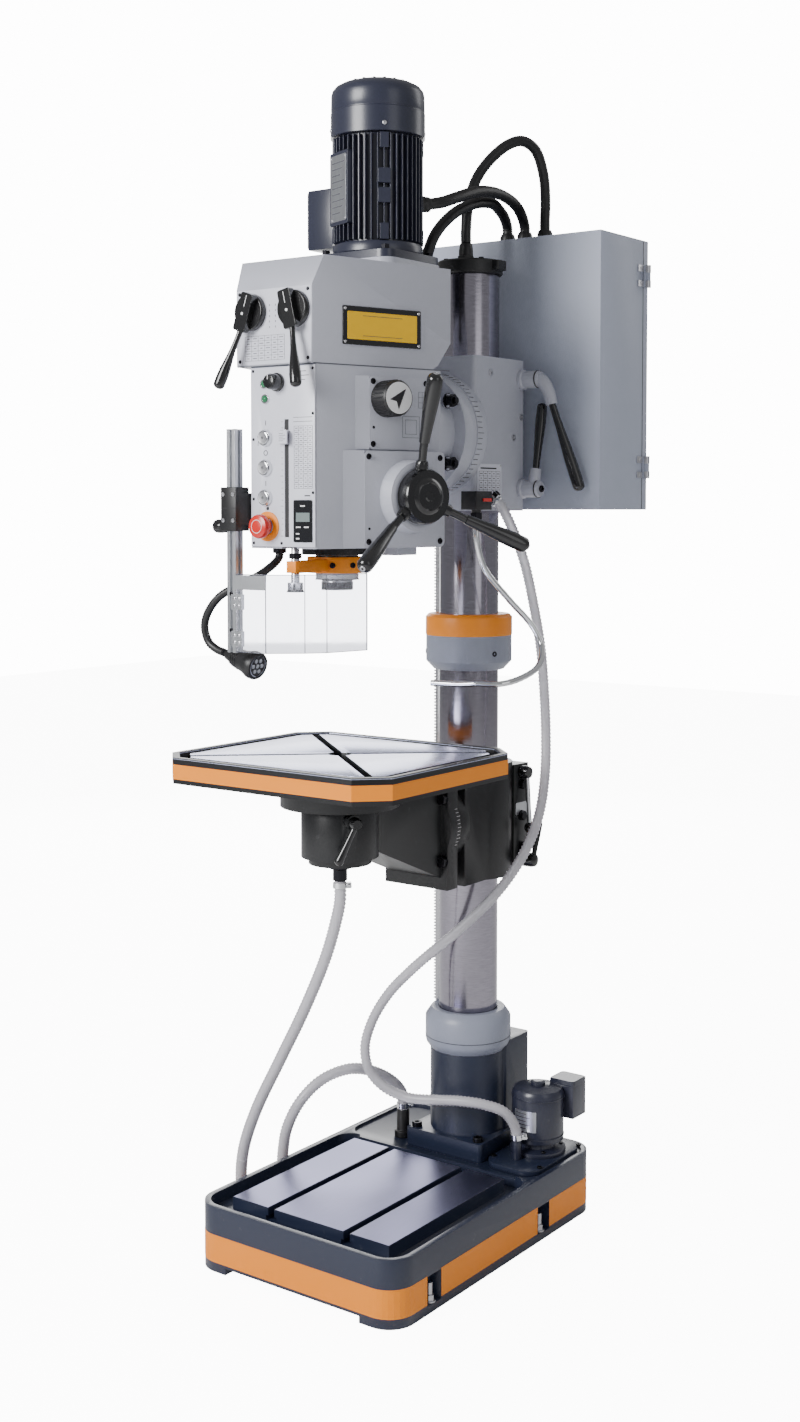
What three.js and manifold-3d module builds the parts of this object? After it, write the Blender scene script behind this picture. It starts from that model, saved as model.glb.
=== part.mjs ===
// Gear-head column drill press with coolant base, tilting table, electrical cabinet and guard.
// Millimetres. +Z is up, +X is the operator's right and -Y is the operator's side.
// The origin is the column's axis at floor level.

import * as THREE from "three";
import { mergeVertices } from "three/addons/utils/BufferGeometryUtils.js";
import Module from "manifold-3d";

const wasm = await Module();
wasm.setup();

// ---------------------------------------------------------------- driving dimensions

const gap = 0.3; // between pieces that touch
const column = { radius: 57.5, bottom: 148.3, top: 1812 };
const base = { halfWidth: 227, front: -548.5, rear: 112, rim: 118.6, corner: 50, wall: 11, trough: 96 };
const bed = { halfWidth: 176, front: -498.5, rear: -139.5, top: 120.6, slotX: 85 };
const deck = { front: -112, top: 112.6 };
const foot = { half: 88, top: 148, radius: 74, collar: 385 };
const collar = { radius: 84.5, bottom: 1053, top: 1161 };
const rackBar = { inner: 58, outer: 72, halfWidth: 11 };
const bracket = { radius: 86, bottom: 652, top: 872, face: -143, tiltZ: 770, tiltRadius: 80 };
const hub = { y: -407, radius: 69, bottom: 750, top: 840.7 };
const table = { halfWidth: 242.5, halfDepth: 218, top: 933.5, bottom: 888, chamfer: 47 };
const headBracket = { half: 88, front: -112, rear: 63, bottom: 1360, top: 1649, tiltZ: 1503, disc: 115 };
const side = { x: 82, y: -582, alongX: 0.2943, alongY: 0.9557 }; // the head's splayed right side
const head = { front: -574.6, rear: -307, bottom: 1297, top: 1602, left: -57 };
const gearbox = { front: -582, bottom: 1602.3, plateTop: 1730.7, top: 1780 };
const quillAxis = { y: -414, radius: 37.5, boreRadius: 38, nose: 1240, top: 1500 };
const feedAxis = { along: 190, z: 1384, armReach: 203, armLean: 109 };
const motorAxis = { y: -294, radius: 81, flange: 1800, body: 1832, cover: 2021, top: 2122 };
const cabinet = { half: 238, front: 90, rear: 258, door: 278, bottom: 1362, top: 1891, wall: 3 };
const supplyHose = { radius: 10.5 };
const drainHose = { radius: 11.5 };
const conduit = { radius: 10.8 };
const button = { x: -22, z: [1482, 1432, 1382], radius: 11 };
const guard = { postX: -81, postY: -590, bottom: 1120, top: 1498 };

// ---------------------------------------------------------------- finishes

const finish = {
  lightGrey: { color: 0xc3c6cb, roughness: 0.5, metalness: 0.1 },
  panelWhite: { color: 0xe6e6ea, roughness: 0.4, metalness: 0.2 },
  slate: { color: 0x333a4d, roughness: 0.45, metalness: 0.1 },
  nearBlack: { color: 0x1f2024, roughness: 0.5, metalness: 0.1 },
  groundSteel: { color: 0xa5a6ac, roughness: 0.25, metalness: 1 },
  chrome: { color: 0xd5d6d8, roughness: 0.12, metalness: 1 },
  orange: { color: 0xf09a16, roughness: 0.4, metalness: 0 },
  black: { color: 0x101012, roughness: 0.3, metalness: 0 },
  cabinetGrey: { color: 0xa9afbb, roughness: 0.5, metalness: 0.1 },
  clear: { color: 0xe8ecf4, roughness: 0.05, metalness: 0 },
  hose: { color: 0xb9b6bd, roughness: 0.35, metalness: 0 },
  aluminium: { color: 0xc9cbd0, roughness: 0.3, metalness: 0.9 },
  red: { color: 0xd02a1e, roughness: 0.35, metalness: 0 },
  green: { color: 0x2a8f5a, roughness: 0.35, metalness: 0 },
};

// ---------------------------------------------------------------- shapes

const at = (x, y, z) => new THREE.Vector3(x, y, z);

// A three.js geometry as a closed solid that can be cut and joined.
function solid(geometry) {
  const bare = geometry.index ? geometry.toNonIndexed() : geometry.clone();
  bare.deleteAttribute("normal");
  bare.deleteAttribute("uv");
  const merged = mergeVertices(bare, 1e-4);
  const corners = [];
  for (let i = 0; i < merged.index.count; i += 3) {
    const [a, b, c] = [0, 1, 2].map((k) => merged.index.getX(i + k));
    if (a !== b && b !== c && c !== a) corners.push(a, b, c);
  }
  return new wasm.Manifold(
    new wasm.Mesh({
      numProp: 3,
      vertProperties: new Float32Array(merged.attributes.position.array),
      triVerts: new Uint32Array(corners),
    }),
  );
}

const join = (first, ...others) => others.reduce((whole, piece) => whole.add(piece), first);
const cut = (first, ...others) => others.reduce((whole, piece) => whole.subtract(piece), first);

function block(x0, x1, y0, y1, z0, z1) {
  const geometry = new THREE.BoxGeometry(x1 - x0, y1 - y0, z1 - z0);
  return solid(geometry.translate((x0 + x1) / 2, (y0 + y1) / 2, (z0 + z1) / 2));
}

// A round bar from one point to another; endRadius makes it a cone.
function bar(from, to, radius, sides = 24, endRadius = radius) {
  const along = to.clone().sub(from);
  const geometry = new THREE.CylinderGeometry(endRadius, radius, along.length(), sides);
  const turn = new THREE.Quaternion().setFromUnitVectors(at(0, 1, 0), along.clone().normalize());
  geometry.applyQuaternion(turn);
  const middle = from.clone().lerp(to, 0.5);
  return solid(geometry.translate(middle.x, middle.y, middle.z));
}

const ball = (centre, radius, sides = 16) =>
  solid(new THREE.SphereGeometry(radius, sides, sides / 2).translate(centre.x, centre.y, centre.z));

// A turned piece on a vertical axis, from a list of [radius, height] that goes up outside.
function turned(profile, x, y, sides = 32) {
  const points = profile.map(([radius, height]) => new THREE.Vector2(radius, height));
  const geometry = new THREE.LatheGeometry(points, sides);
  return solid(geometry.rotateX(Math.PI / 2).translate(x, y, 0));
}

// An outline in the XY plane, drawn up from one height to another.
function slab(outline, low, high) {
  const corners = () => outline.map(([x, y]) => new THREE.Vector2(x, y));
  const shape = outline instanceof THREE.Shape ? outline : new THREE.Shape(corners());
  const options = { depth: high - low, bevelEnabled: false, curveSegments: 5 };
  const geometry = new THREE.ExtrudeGeometry(shape, options);
  return solid(geometry.translate(0, 0, low));
}

// An outline in the YZ plane, drawn across from one x to another.
function profileAcross(outline, left, right) {
  const shape = new THREE.Shape(outline.map(([y, z]) => new THREE.Vector2(y, z)));
  const geometry = new THREE.ExtrudeGeometry(shape, { depth: right - left, bevelEnabled: false });
  const stand = new THREE.Matrix4().makeBasis(at(0, 1, 0), at(0, 0, 1), at(1, 0, 0));
  return solid(geometry.applyMatrix4(stand).translate(left, 0, 0));
}

// A rectangle with rounded corners.
function rounded(x0, x1, y0, y1, radius) {
  const shape = new THREE.Shape();
  shape.absarc(x1 - radius, y1 - radius, radius, 0, Math.PI / 2);
  shape.absarc(x0 + radius, y1 - radius, radius, Math.PI / 2, Math.PI);
  shape.absarc(x0 + radius, y0 + radius, radius, Math.PI, Math.PI * 1.5);
  shape.absarc(x1 - radius, y0 + radius, radius, Math.PI * 1.5, Math.PI * 2);
  return shape;
}

// A rectangle with its corners cut off, centred on (0, y).
function chamfered(halfWidth, halfDepth, chamfer, y) {
  const quarter = [[halfWidth, halfDepth - chamfer], [halfWidth - chamfer, halfDepth]];
  const half = [...quarter, ...quarter.map(([a, b]) => [-a, b]).reverse()];
  return [...half, ...half.map(([a, b]) => [-a, -b])].map(([a, b]) => [a, b + y]);
}

// A tube of solid section along a smooth curve through the points.
function pipe(points, radius, sides, steps) {
  const section = new THREE.Shape();
  for (let i = 0; i < sides; i++) {
    const turn = (i * 2 * Math.PI) / sides;
    const place = [radius * Math.cos(turn), radius * Math.sin(turn)];
    if (i === 0) section.moveTo(...place);
    else section.lineTo(...place);
  }
  const places = points.map(([x, y, z]) => at(x, y, z));
  const extrudePath = new THREE.CatmullRomCurve3(places, false, "centripetal");
  return solid(new THREE.ExtrudeGeometry(section, { steps, bevelEnabled: false, extrudePath }));
}

// A place on the head's splayed right side: along it from its front edge, up, and out from it.
function onSide(along, z, out = 0) {
  const x = side.x + side.alongX * along + side.alongY * out;
  return at(x, side.y + side.alongY * along - side.alongX * out, z);
}

// A plate on the head's splayed right side.
function sidePlate(fromAlong, toAlong, low, high, thickness, cornerRadius) {
  const shape = rounded(fromAlong, toAlong, low, high, cornerRadius);
  const options = { depth: thickness, bevelEnabled: false, curveSegments: 4 };
  const geometry = new THREE.ExtrudeGeometry(shape, options);
  const along = at(side.alongX, side.alongY, 0);
  const out = at(side.alongY, -side.alongX, 0);
  const place = new THREE.Matrix4().makeBasis(along, at(0, 0, 1), out);
  geometry.applyMatrix4(place);
  const start = onSide(0, 0, gap);
  return solid(geometry.translate(start.x, start.y, 0));
}

// ---------------------------------------------------------------- the assembly

const group = new THREE.Group();

function add(name, shape, look) {
  const { vertProperties, triVerts } = shape.getMesh();
  const geometry = new THREE.BufferGeometry();
  geometry.setAttribute("position", new THREE.BufferAttribute(new Float32Array(vertProperties), 3));
  geometry.setIndex(new THREE.BufferAttribute(new Uint32Array(triVerts), 1));
  geometry.computeVertexNormals();
  const mesh = new THREE.Mesh(geometry, new THREE.MeshStandardMaterial(look));
  mesh.name = name;
  group.add(mesh);
}

// ---------------------------------------------------------------- base and column

function baseCasting() {
  const { halfWidth, front, rear, rim, corner, wall, trough } = base;
  const outside = slab(rounded(-halfWidth, halfWidth, front, rear, corner), 0, rim);
  const inner = halfWidth - wall;
  const tray = slab(rounded(-inner, inner, front + wall, deck.front, corner - wall), trough, rim + 10);
  const deckOutline = rounded(-inner, inner, deck.front - 1, rear - wall, corner - wall);
  const deckRecess = slab(deckOutline, deck.top, rim + 10);
  const bedBlock = block(-bed.halfWidth, bed.halfWidth, bed.front, bed.rear, trough - 1, bed.top);
  const slots = [-bed.slotX, bed.slotX].flatMap((x) => [
    block(x - 7, x + 7, bed.front - 1, bed.rear + 1, 106, bed.top + 1),
    block(x - 12.5, x + 12.5, bed.front - 1, bed.rear + 1, trough + 0.5, 106.5),
  ]);
  const notchDepth = 24;
  const notches = [-1, 1].flatMap((hand) =>
    [-438, -84].map((y) => {
      const [inside, outsideX] = [hand * (halfWidth - notchDepth), hand * (halfWidth + 1)];
      return block(Math.min(inside, outsideX), Math.max(inside, outsideX), y - 21, y + 21, 14, 66);
    }),
  );
  const frontArch = block(-150, 150, front - 1, front + 60, -1, 12);
  const underside = [-1, 1].map((hand) => {
    const [inside, outsideX] = [hand * 12, hand * 186];
    return block(Math.min(inside, outsideX), Math.max(inside, outsideX), front + 70, -130, -1, 78);
  });
  const openTop = join(cut(outside, tray, deckRecess), bedBlock);
  return cut(openTop, ...slots, ...notches, frontArch, ...underside);
}

function columnFoot() {
  const plate = slab(rounded(-foot.half, foot.half, -foot.half, foot.half, 8), deck.top + gap, foot.top);
  const barrel = bar(at(0, 0, foot.top - 1), at(0, 0, 305), foot.radius, 40);
  const rearBlock = slab(rounded(-78, 78, 10, 105, 10), foot.top - 1, 322);
  const bore = bar(at(0, 0, foot.top), at(0, 0, 330), column.radius + gap, 40);
  return cut(join(plate, barrel, rearBlock), bore);
}

function footCollar() {
  const profile = [
    [58.5, 305.3], [74, 305.3], [82, 316], [84, 322], [84, 368], [78, 377], [72, foot.collar],
    [58.5, foot.collar], [58.5, 305.3],
  ];
  return cut(turned(profile, 0, 0, 32), block(-79, 79, 9, 106, 300, 322.3));
}

function upperCollar() {
  const { radius, bottom, top } = collar;
  const profile = [
    [58.5, bottom], [radius - 16, bottom], [radius - 1, bottom + 16], [radius - 1, 1119], [radius, 1120],
    [radius, top - 6], [radius - 6, top], [58.5, top], [58.5, bottom],
  ];
  return turned(profile, 0, 0, 32);
}

function columnCap() {
  const cap = turned([[0, 1812.3], [62, 1812.3], [64, 1815], [64, 1836], [61, 1839], [0, 1839]], 0, 0, 40);
  const lug = slab(rounded(30, 76, -16, 16, 6), 1818, 1836);
  const gland = turned([[0, 1838], [14, 1838], [14, 1860], [12, 1874], [0, 1874]], -6, -4, 16);
  return join(cap, lug, gland);
}

// The rack stands between the two collars and turns round the column with the table.
function rack() {
  const { inner, outer, halfWidth } = rackBar;
  return block(-outer, -inner, -halfWidth, halfWidth, foot.collar + gap, collar.bottom - gap);
}

// ---------------------------------------------------------------- coolant pump and fittings

function coolantPump() {
  const [x, y] = [150, 20];
  const profile = [
    [0, 122.9], [54, 122.9], [54, 131], [34, 134], [34, 144], [50, 148], [50, 238], [46, 246],
    [12, 250], [12, 254], [0, 254],
  ];
  const motor = turned(profile, x, y, 24);
  const terminalBox = block(x + 10, x + 62, y + 28, y + 76, 186, 258);
  const outlet = join(
    bar(at(x - 6, y - 66, 122.9), at(x - 6, y - 66, 158), 9, 16),
    bar(at(x - 6, y - 66, 127), at(x - 3, y - 30, 127), 4, 8),
  );
  return join(motor, terminalBox, outlet);
}

function tankCover() {
  return slab(rounded(94, 210, -92, 94, 34), deck.top + gap, 122.6);
}

function returnFitting() {
  const low = deck.top + gap;
  const profile = [[0, low], [17, low], [17, 126], [12.5, 127], [12.5, 168], [0, 168]];
  return turned(profile, -118, -56, 16);
}

// ---------------------------------------------------------------- table

function tableBracket() {
  const { radius, bottom, top, face, tiltZ, tiltRadius } = bracket;
  const sleeve = bar(at(0, 0, bottom), at(0, 0, top), radius, 40);
  const nose = block(-72, 72, face + 24, 0, bottom, top - 14);
  const disc = bar(at(0, face + 30, tiltZ), at(0, face, tiltZ), tiltRadius, 40);
  const clampEars = block(-30, 80, 40, 92, bottom + 10, top - 8);
  const wormBox = block(-132, -60, -34, 40, 700, 800);
  const bore = bar(at(0, 0, bottom - 1), at(0, 0, top + 1), column.radius + 0.4, 40);
  const { outer, halfWidth } = rackBar;
  const rackWay = block(-outer - 1, -40, -halfWidth - 1, halfWidth + 1, bottom - 1, top + 1);
  const split = block(-2, 2, 50, 100, bottom - 1, top + 1);
  return cut(join(sleeve, nose, disc, clampEars, wormBox), bore, rackWay, split);
}

// A clamp lever: a hub on a horizontal axis along X and a handle that starts in its socket.
function clampLever(hubFrom, hubTo, hubRadius, handleFrom, handleTo, radii, knob) {
  const parts = [
    bar(hubFrom, hubTo, hubRadius, 16),
    bar(handleFrom, handleTo, radii[0], 12, radii[1]),
  ];
  if (knob) parts.push(ball(handleTo, knob, 12));
  return join(...parts);
}

function elevatingCrank() {
  const shaft = bar(at(-132.3, 3, 750), at(-158, 3, 750), 12, 16);
  const web = bar(at(-158, 3, 750), at(-158, -112, 750), 9, 12);
  const boss = bar(at(-149, -112, 750), at(-167, -112, 750), 12, 12);
  return join(shaft, bar(at(-149, 3, 750), at(-167, 3, 750), 18, 16), web, boss);
}

const crankGrip = () => bar(at(-167.3, -112, 750), at(-250, -112, 750), 13, 16, 16);

function tableArm() {
  const { y, radius, bottom, top } = hub;
  const outline = [
    [y, bottom + 4], [-367, 756], [-172, 675], [-147, 655], [-147, 868], [-262, 866], [-292, top - 4],
    [y, top - 4],
  ];
  const web = profileAcross(outline, -56, 56);
  const disc = bar(at(0, bracket.face - gap, bracket.tiltZ), at(0, -176, bracket.tiltZ), bracket.tiltRadius, 40);
  const backPlate = block(-72, 72, -176, bracket.face - gap, bracket.bottom + 2, bracket.top - 4);
  const hubBarrel = bar(at(0, y, bottom), at(0, y, top), radius, 36);
  const ring = bar(at(0, y, 738), at(0, y, bottom + 1), 56, 32);
  const boss = bar(at(46, y - 34, 824), at(74, y - 54, 824), 14, 14);
  return join(web, disc, backPlate, hubBarrel, ring, boss);
}

function tableLockLever() {
  const screw = bar(at(74.3, hub.y - 54.2, 824), at(90, hub.y - 65.5, 824), 11, 14);
  return join(screw, bar(at(84, hub.y - 61, 824), at(62, hub.y - 84, 757), 6, 10, 8));
}

const drainFitting = () =>
  turned([[0, 706], [13, 706], [13, 726], [20, 728], [20, 737.7], [0, 737.7]], 0, hub.y, 16);

function workTable() {
  const { halfWidth, halfDepth, top, bottom, chamfer } = table;
  const { y } = hub;
  const plate = slab(chamfered(halfWidth, halfDepth, chamfer, y), bottom, top);
  const rimWall = 11;
  const gutterWidth = 17;
  const inset = rimWall + gutterWidth;
  const gutterOutline = chamfered(halfWidth - rimWall, halfDepth - rimWall, chamfer - 5, y);
  const gutterOuter = slab(gutterOutline, top - 16, top + 5);
  const surfaceOutline = chamfered(halfWidth - inset, halfDepth - inset, chamfer - 12, y);
  const surface = slab(surfaceOutline, top - 17, top - 2);
  const disc = bar(at(0, y, hub.top + gap), at(0, y, bottom + 1), 106, 40);
  const angle = Math.atan2(halfDepth - inset, halfWidth - inset);
  const reach = 330;
  const slots = [angle, -angle].flatMap((turn) => {
    const along = at(Math.cos(turn), Math.sin(turn), 0);
    const across = at(-Math.sin(turn), Math.cos(turn), 0);
    const strip = (half, low, high) => {
      const corner = (a, b) => [along.x * a + across.x * b, along.y * a + across.y * b + y];
      const start = [corner(-reach, half), corner(-reach, -half)];
      return slab([...start, corner(reach, -half), corner(reach, half)], low, high);
    };
    return [strip(7, top - 18, top), strip(12.5, top - 30, top - 17.5)];
  });
  const slotLimit = chamfered(halfWidth - inset + 2, halfDepth - inset + 2, chamfer - 12, y);
  const slotCut = join(...slots).intersect(slab(slotLimit, top - 31, top + 1));
  const centreHole = bar(at(0, y, top - 32), at(0, y, top + 1), 22, 24);
  return cut(join(cut(plate, gutterOuter), surface, disc), slotCut, centreHole);
}

// ---------------------------------------------------------------- head bracket and cabinet

function headBracketCasting() {
  const { half, front, rear, bottom, top, tiltZ, disc } = headBracket;
  const body = slab(rounded(-half, half, front, rear, 10), bottom, top);
  const tiltDisc = bar(at(0, front + 1, tiltZ), at(0, -142, tiltZ), disc, 48);
  const cabinetMount = block(-60, 60, rear - 1, cabinet.front - gap, 1420, 1590);
  const bore = bar(at(0, 0, bottom - 1), at(0, 0, top + 1), column.radius + gap, 40);
  const split = block(-1.5, 1.5, 40, cabinet.front, bottom - 1, top + 1);
  return cut(join(body, tiltDisc, cabinetMount), bore, split);
}

const upperClampLever = () =>
  join(
    bar(at(88.3, 50, 1612), at(132, 50, 1612), 18, 20),
    bar(at(126, 50, 1612), at(152, 56, 1564), 13, 16, 11),
    bar(at(150, 55, 1568), at(206, 70, 1402), 7, 12, 11.5),
  );

const lowerClampLever = () =>
  join(
    bar(at(88.3, 50, 1402), at(134, 50, 1402), 18, 20),
    bar(at(116, 50, 1402), at(118, 54, 1440), 12, 16, 10),
    bar(at(118, 54, 1436), at(124, 68, 1566), 7, 12, 10),
  );

const coolantValve = () =>
  join(
    block(88.3, 122, -158, -106, 1362, 1396),
    bar(at(105, -106.5, 1380), at(105, -88, 1380), 9, 12),
    bar(at(105, -132, 1342), at(105, -132, 1363), 9, 12),
  );

const nozzleRoute = [
  [105, -132, 1341.6], [105, -131, 1310], [112, -116, 1255], [138, -72, 1195], [168, -38, 1145], [186, -32, 1106],
  [196, -60, 1072], [184, -106, 1051], [164, -142, 1043], [130, -158, 1043], [88, -170, 1041],
  [38, -181, 1041],
];

const glandPlaces = [[-30, 182], [11, 182], [58, 182]];

function electricalCabinet() {
  const { half, front, rear, bottom, top, wall } = cabinet;
  const shell = block(-half, half, front, rear, bottom, top);
  const room = block(-half + wall, half - wall, front + wall, rear + 1, bottom + wall, top - wall);
  const back = front + wall;
  const mountPlate = block(-half + 30, half - 30, back - 1, back + 4, bottom + 30, top - 30);
  const profile = [[0, top - 1], [15, top - 1], [15, top + 14], [12, top + 24], [0, top + 24]];
  const glands = glandPlaces.map(([x, y]) => turned(profile, x, y, 12));
  return join(cut(shell, room), mountPlate, ...glands);
}

function cabinetDoor() {
  const { half, rear, door, bottom, top } = cabinet;
  const panel = block(-half, half, rear + gap, door, bottom, top);
  const hinges = [1425, 1800].map((z) => bar(at(half + 6, rear + 8, z), at(half + 6, rear + 8, z + 42), 6, 10));
  const leaves = [1425, 1800].map((z) => block(half - 1, half + 4, rear + gap, door, z, z + 42));
  return join(panel, ...hinges, ...leaves);
}

// ---------------------------------------------------------------- head

// The push buttons' stems pass through the panel into pockets in the casting: x, z and radius.
const stopButton = { x: -18, z: 1334, stem: 6 };
const controlStems = [...button.z.map((z) => [button.x, z, 4]), [stopButton.x, stopButton.z, stopButton.stem]];
const stem = (x, z, radius, from, to) => bar(at(x, from, z), at(x, to, z), radius, 12);

function headCasting() {
  const { front, rear, bottom, top, left } = head;
  const frontRight = side.x + side.alongX * 7.4;
  const backRight = onSide(266, 0);
  const rearRight = onSide(284, 0);
  const plan = [
    [frontRight, front], [backRight.x, backRight.y], [rearRight.x - 40, rear - 4], [-rearRight.x + 50, rear - 4],
    [-134, backRight.y], [left, front],
  ];
  const body = slab(plan, bottom, top);
  const { tiltZ } = headBracket;
  const neck = bar(at(0, rear - 20, tiltZ), at(0, -180, tiltZ), 96, 32, 90);
  const flange = bar(at(0, -181, tiltZ), at(0, -142.3, tiltZ), 114, 40);
  const { y: boreY, boreRadius } = quillAxis;
  const quillBore = bar(at(0, boreY, bottom - 1), at(0, boreY, quillAxis.top + 6), boreRadius, 32);
  const rodChannel = block(10, 42, front - 1, -536, bottom - 1, 1540);
  const foot = block(64, 112, -388, -330, bottom - 14, bottom + 1);
  const gearRoom = block(46, 88, -516, -345, bottom + 30, top + 1);
  const bolt = (x, z) => bar(at(x, -181, z), at(x, -200, z), 13, 12);
  const bolts = [-82, 82].flatMap((x) => [-57, 57].map((dz) => bolt(x, tiltZ + dz)));
  const shell = join(body, neck, flange, foot, ...bolts);
  const pockets = controlStems.map(([x, z, radius]) => stem(x, z, radius + 1.5, front - 1, front + 9));
  return cut(shell, quillBore, rodChannel, gearRoom, ...pockets);
}

function gearboxHousing() {
  const { front, bottom, plateTop, top } = gearbox;
  const rearRight = onSide(288, 0);
  const right = [[side.x, front], [rearRight.x, rearRight.y], [93, -200]];
  const left = right.map(([x, y]) => [-x, y]).reverse();
  const plan = slab([...right, ...left], bottom, top);
  const outline = [
    [front, bottom], [front, plateTop], [-559, top], [-200, top - 4], [-200, 1662], [head.rear, 1649], [-333, 1610],
    [-345, bottom],
  ];
  const { y: motorY, flange } = motorAxis;
  const riser = slab(rounded(-86, 86, motorY - 86, motorY + 86, 26), top - 6, flange - gap);
  const gearRoom = block(-60, 88, -530, -350, bottom - 1, top - 30);
  return cut(join(plan.intersect(profileAcross(outline, -180, 180)), riser), gearRoom);
}

function controlPanel() {
  const { front } = head;
  const plate = block(-55, 84, front - 3.3, front - gap, 1300, 1600);
  const rodSlot = block(19, 28, front - 5, front + 1, 1316, 1512);
  const holes = controlStems.map(([x, z, radius]) => stem(x, z, radius + 1, front - 5, front + 1));
  return cut(plate, rodSlot, ...holes);
}

const onFeedAxis = (out) => onSide(feedAxis.along, feedAxis.z, out);

function feedCover() {
  const plate = sidePlate(96, 266, 1298, 1461, 12, 10);
  return join(plate, bar(onFeedAxis(11), onFeedAxis(40), 63, 28, 59));
}

const selectorCover = () => sidePlate(109, 236, 1463, 1586, 8, 8);

const feedSelectorKnob = () => bar(onSide(143, 1548, 8.6), onSide(143, 1548, 46), 31, 24, 30);

function capstanHub() {
  const body = bar(onFeedAxis(40.3), onFeedAxis(67), 47, 28, 46);
  return join(body, bar(onFeedAxis(66), onFeedAxis(72), 24, 20, 21));
}

// The three feed arms stand in sockets round the hub and lean outwards.
function capstanArm(degrees) {
  const turn = (degrees * Math.PI) / 180;
  const [across, up] = [Math.cos(turn), Math.sin(turn)];
  const place = (r, out) => onSide(feedAxis.along + r * across, feedAxis.z + r * up, out);
  return join(
    bar(place(50, 52), place(92, 64), 7.5, 12, 8.5),
    bar(place(91, 63.7), place(feedAxis.armReach, feedAxis.armLean), 9.5, 14, 14),
  );
}

function motorBody() {
  const { y, radius, flange, body, cover } = motorAxis;
  const ears = slab(rounded(-84, 84, y - 84, y + 84, 24), flange, flange + 14);
  const bell = bar(at(0, y, flange + 13), at(0, y, body), radius, 32);
  const stator = bar(at(0, y, body - 1), at(0, y, cover - gap), radius, 32);
  return join(ears, bell, stator);
}

function motorFanCover() {
  const { y, cover, top } = motorAxis;
  const profile = [
    [0, cover], [84.5, cover], [84.5, 2066], [83, 2069], [83, 2098], [76, 2110], [54, top - 3], [0, top],
  ];
  return turned(profile, 0, y, 32);
}

const motorTerminalBox = () => block(-146, -81.6, -312, -232, 1836, 1944);

// A gear lever on the front plate: a round disc and a handle that leans out of it.
function speedLever(x, lean) {
  const z = 1692;
  const disc = bar(at(x, gearbox.front - gap, z), at(x, -596, z), 31, 28, 29);
  const tip = at(x + 128 * Math.sin(lean), -618, z - 128 * Math.cos(lean));
  const start = at(x + 8 * Math.sin(lean), -592, z - 8 * Math.cos(lean));
  return join(disc, bar(start, tip, 9, 14, 10));
}

const onQuillAxis = (z) => at(0, quillAxis.y, z);

function quill() {
  const { radius, nose, top } = quillAxis;
  const outside = bar(onQuillAxis(nose), onQuillAxis(top), radius - 0.1, 32);
  return cut(outside, bar(onQuillAxis(nose - 1), onQuillAxis(top + 1), 22, 28));
}

function quillCollar() {
  const [low, high] = [1252, 1280];
  const ring = bar(onQuillAxis(low), onQuillAxis(high), 52, 28);
  const outline = [[-14, -440], [14, -440], [36, -556], [34, -568], [14, -568], [10, -556]];
  const arm = slab(outline, low + 4, high - 4);
  const bore = bar(onQuillAxis(low - 1), onQuillAxis(high + 1), quillAxis.radius + 0.2, 32);
  const rodHole = bar(at(25, -558, low), at(25, -558, high), 7.3, 16);
  return cut(join(ring, arm), bore, rodHole);
}

const depthRod = () =>
  join(
    bar(at(25, -558, 1232), at(25, -558, 1524), 7, 16),
    bar(at(25, -558, 1226), at(25, -558, 1240), 13, 16),
    block(21, 26, -586, -552, 1478, 1486),
    block(18, 30, -588, -580, 1470, 1494),
  );

function spindle() {
  const { nose, top } = quillAxis;
  const noseRing = bar(onQuillAxis(1222), onQuillAxis(nose - gap), 27, 28);
  const shaft = bar(onQuillAxis(nose - 1), onQuillAxis(top - 4), 21.5, 28);
  return cut(join(noseRing, shaft), bar(onQuillAxis(1221), onQuillAxis(1330), 15, 20, 12));
}

function pushButton(z) {
  const { x, radius } = button;
  return join(bar(at(x, -587, z), at(x, -582.2, z), radius, 18), stem(x, z, 4, -583, -573));
}

function emergencyStop() {
  const { x, z, stem: radius } = stopButton;
  const neck = bar(at(x, -593, z), at(x, -583.5, z), 13, 18);
  return join(neck, bar(at(x, -608, z), at(x, -592, z), 20, 24), stem(x, z, radius, -584, -573));
}

function modeSelector() {
  const dial = bar(at(4, -578.2, 1574), at(4, -588, 1574), 14, 20);
  return join(dial, block(0, 8, -604, -587, 1561, 1587));
}

// ---------------------------------------------------------------- guard and lamp

function guardPost() {
  const { postX: x, postY: y, bottom, top } = guard;
  return slab(rounded(x - 10, x + 10, y - 10, y + 10, 2), bottom, top);
}

// The holder clamps the post and is fixed to the head's left side.
function guardClamp() {
  const { postX: x, postY: y } = guard;
  const holder = block(x - 17, x + 17, y - 17, y + 17, 1326, 1400);
  const ear = slab([[-66, -600], [-57.6, -575], [-67.2, -545], [-84, -545], [-84, -600]], 1336, 1390);
  const knob = bar(at(x - 16, y, 1334), at(x - 42, y, 1334), 11, 14);
  const way = block(x - 10.6, x + 10.6, y - 10.6, y + 10.6, 1300, 1450);
  return cut(join(holder, ear, knob), way);
}

// The shield hinges on the post and stands round the tool on three folded sides.
function guardShield() {
  const { postX: x, postY: y } = guard;
  const folds = [[x + 18, -608], [2, -608], [52, -566], [75, -536], [94, -450]];
  const inner = [[91, -450], [72.4, -534.6], [50, -563.6], [1, -605], [x + 18, -605]];
  const sheet = slab([...folds, ...inner], 1122, 1238);
  const lugs = [1132, 1194].map((z) => block(x + 10.6, x + 34, -612, -590, z, z + 26));
  return join(sheet, ...lugs);
}

const lampRoute = [
  [-84, -470, 1295.4], [-84, -472, 1278], [-96, -502, 1252], [-120, -532, 1232], [-156, -546, 1211],
  [-180, -551, 1182], [-188, -551, 1156], [-181, -548, 1130], [-164, -546.5, 1118], [-147, -546, 1113],
];
const lampTip = at(-147, -546, 1113);

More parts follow.
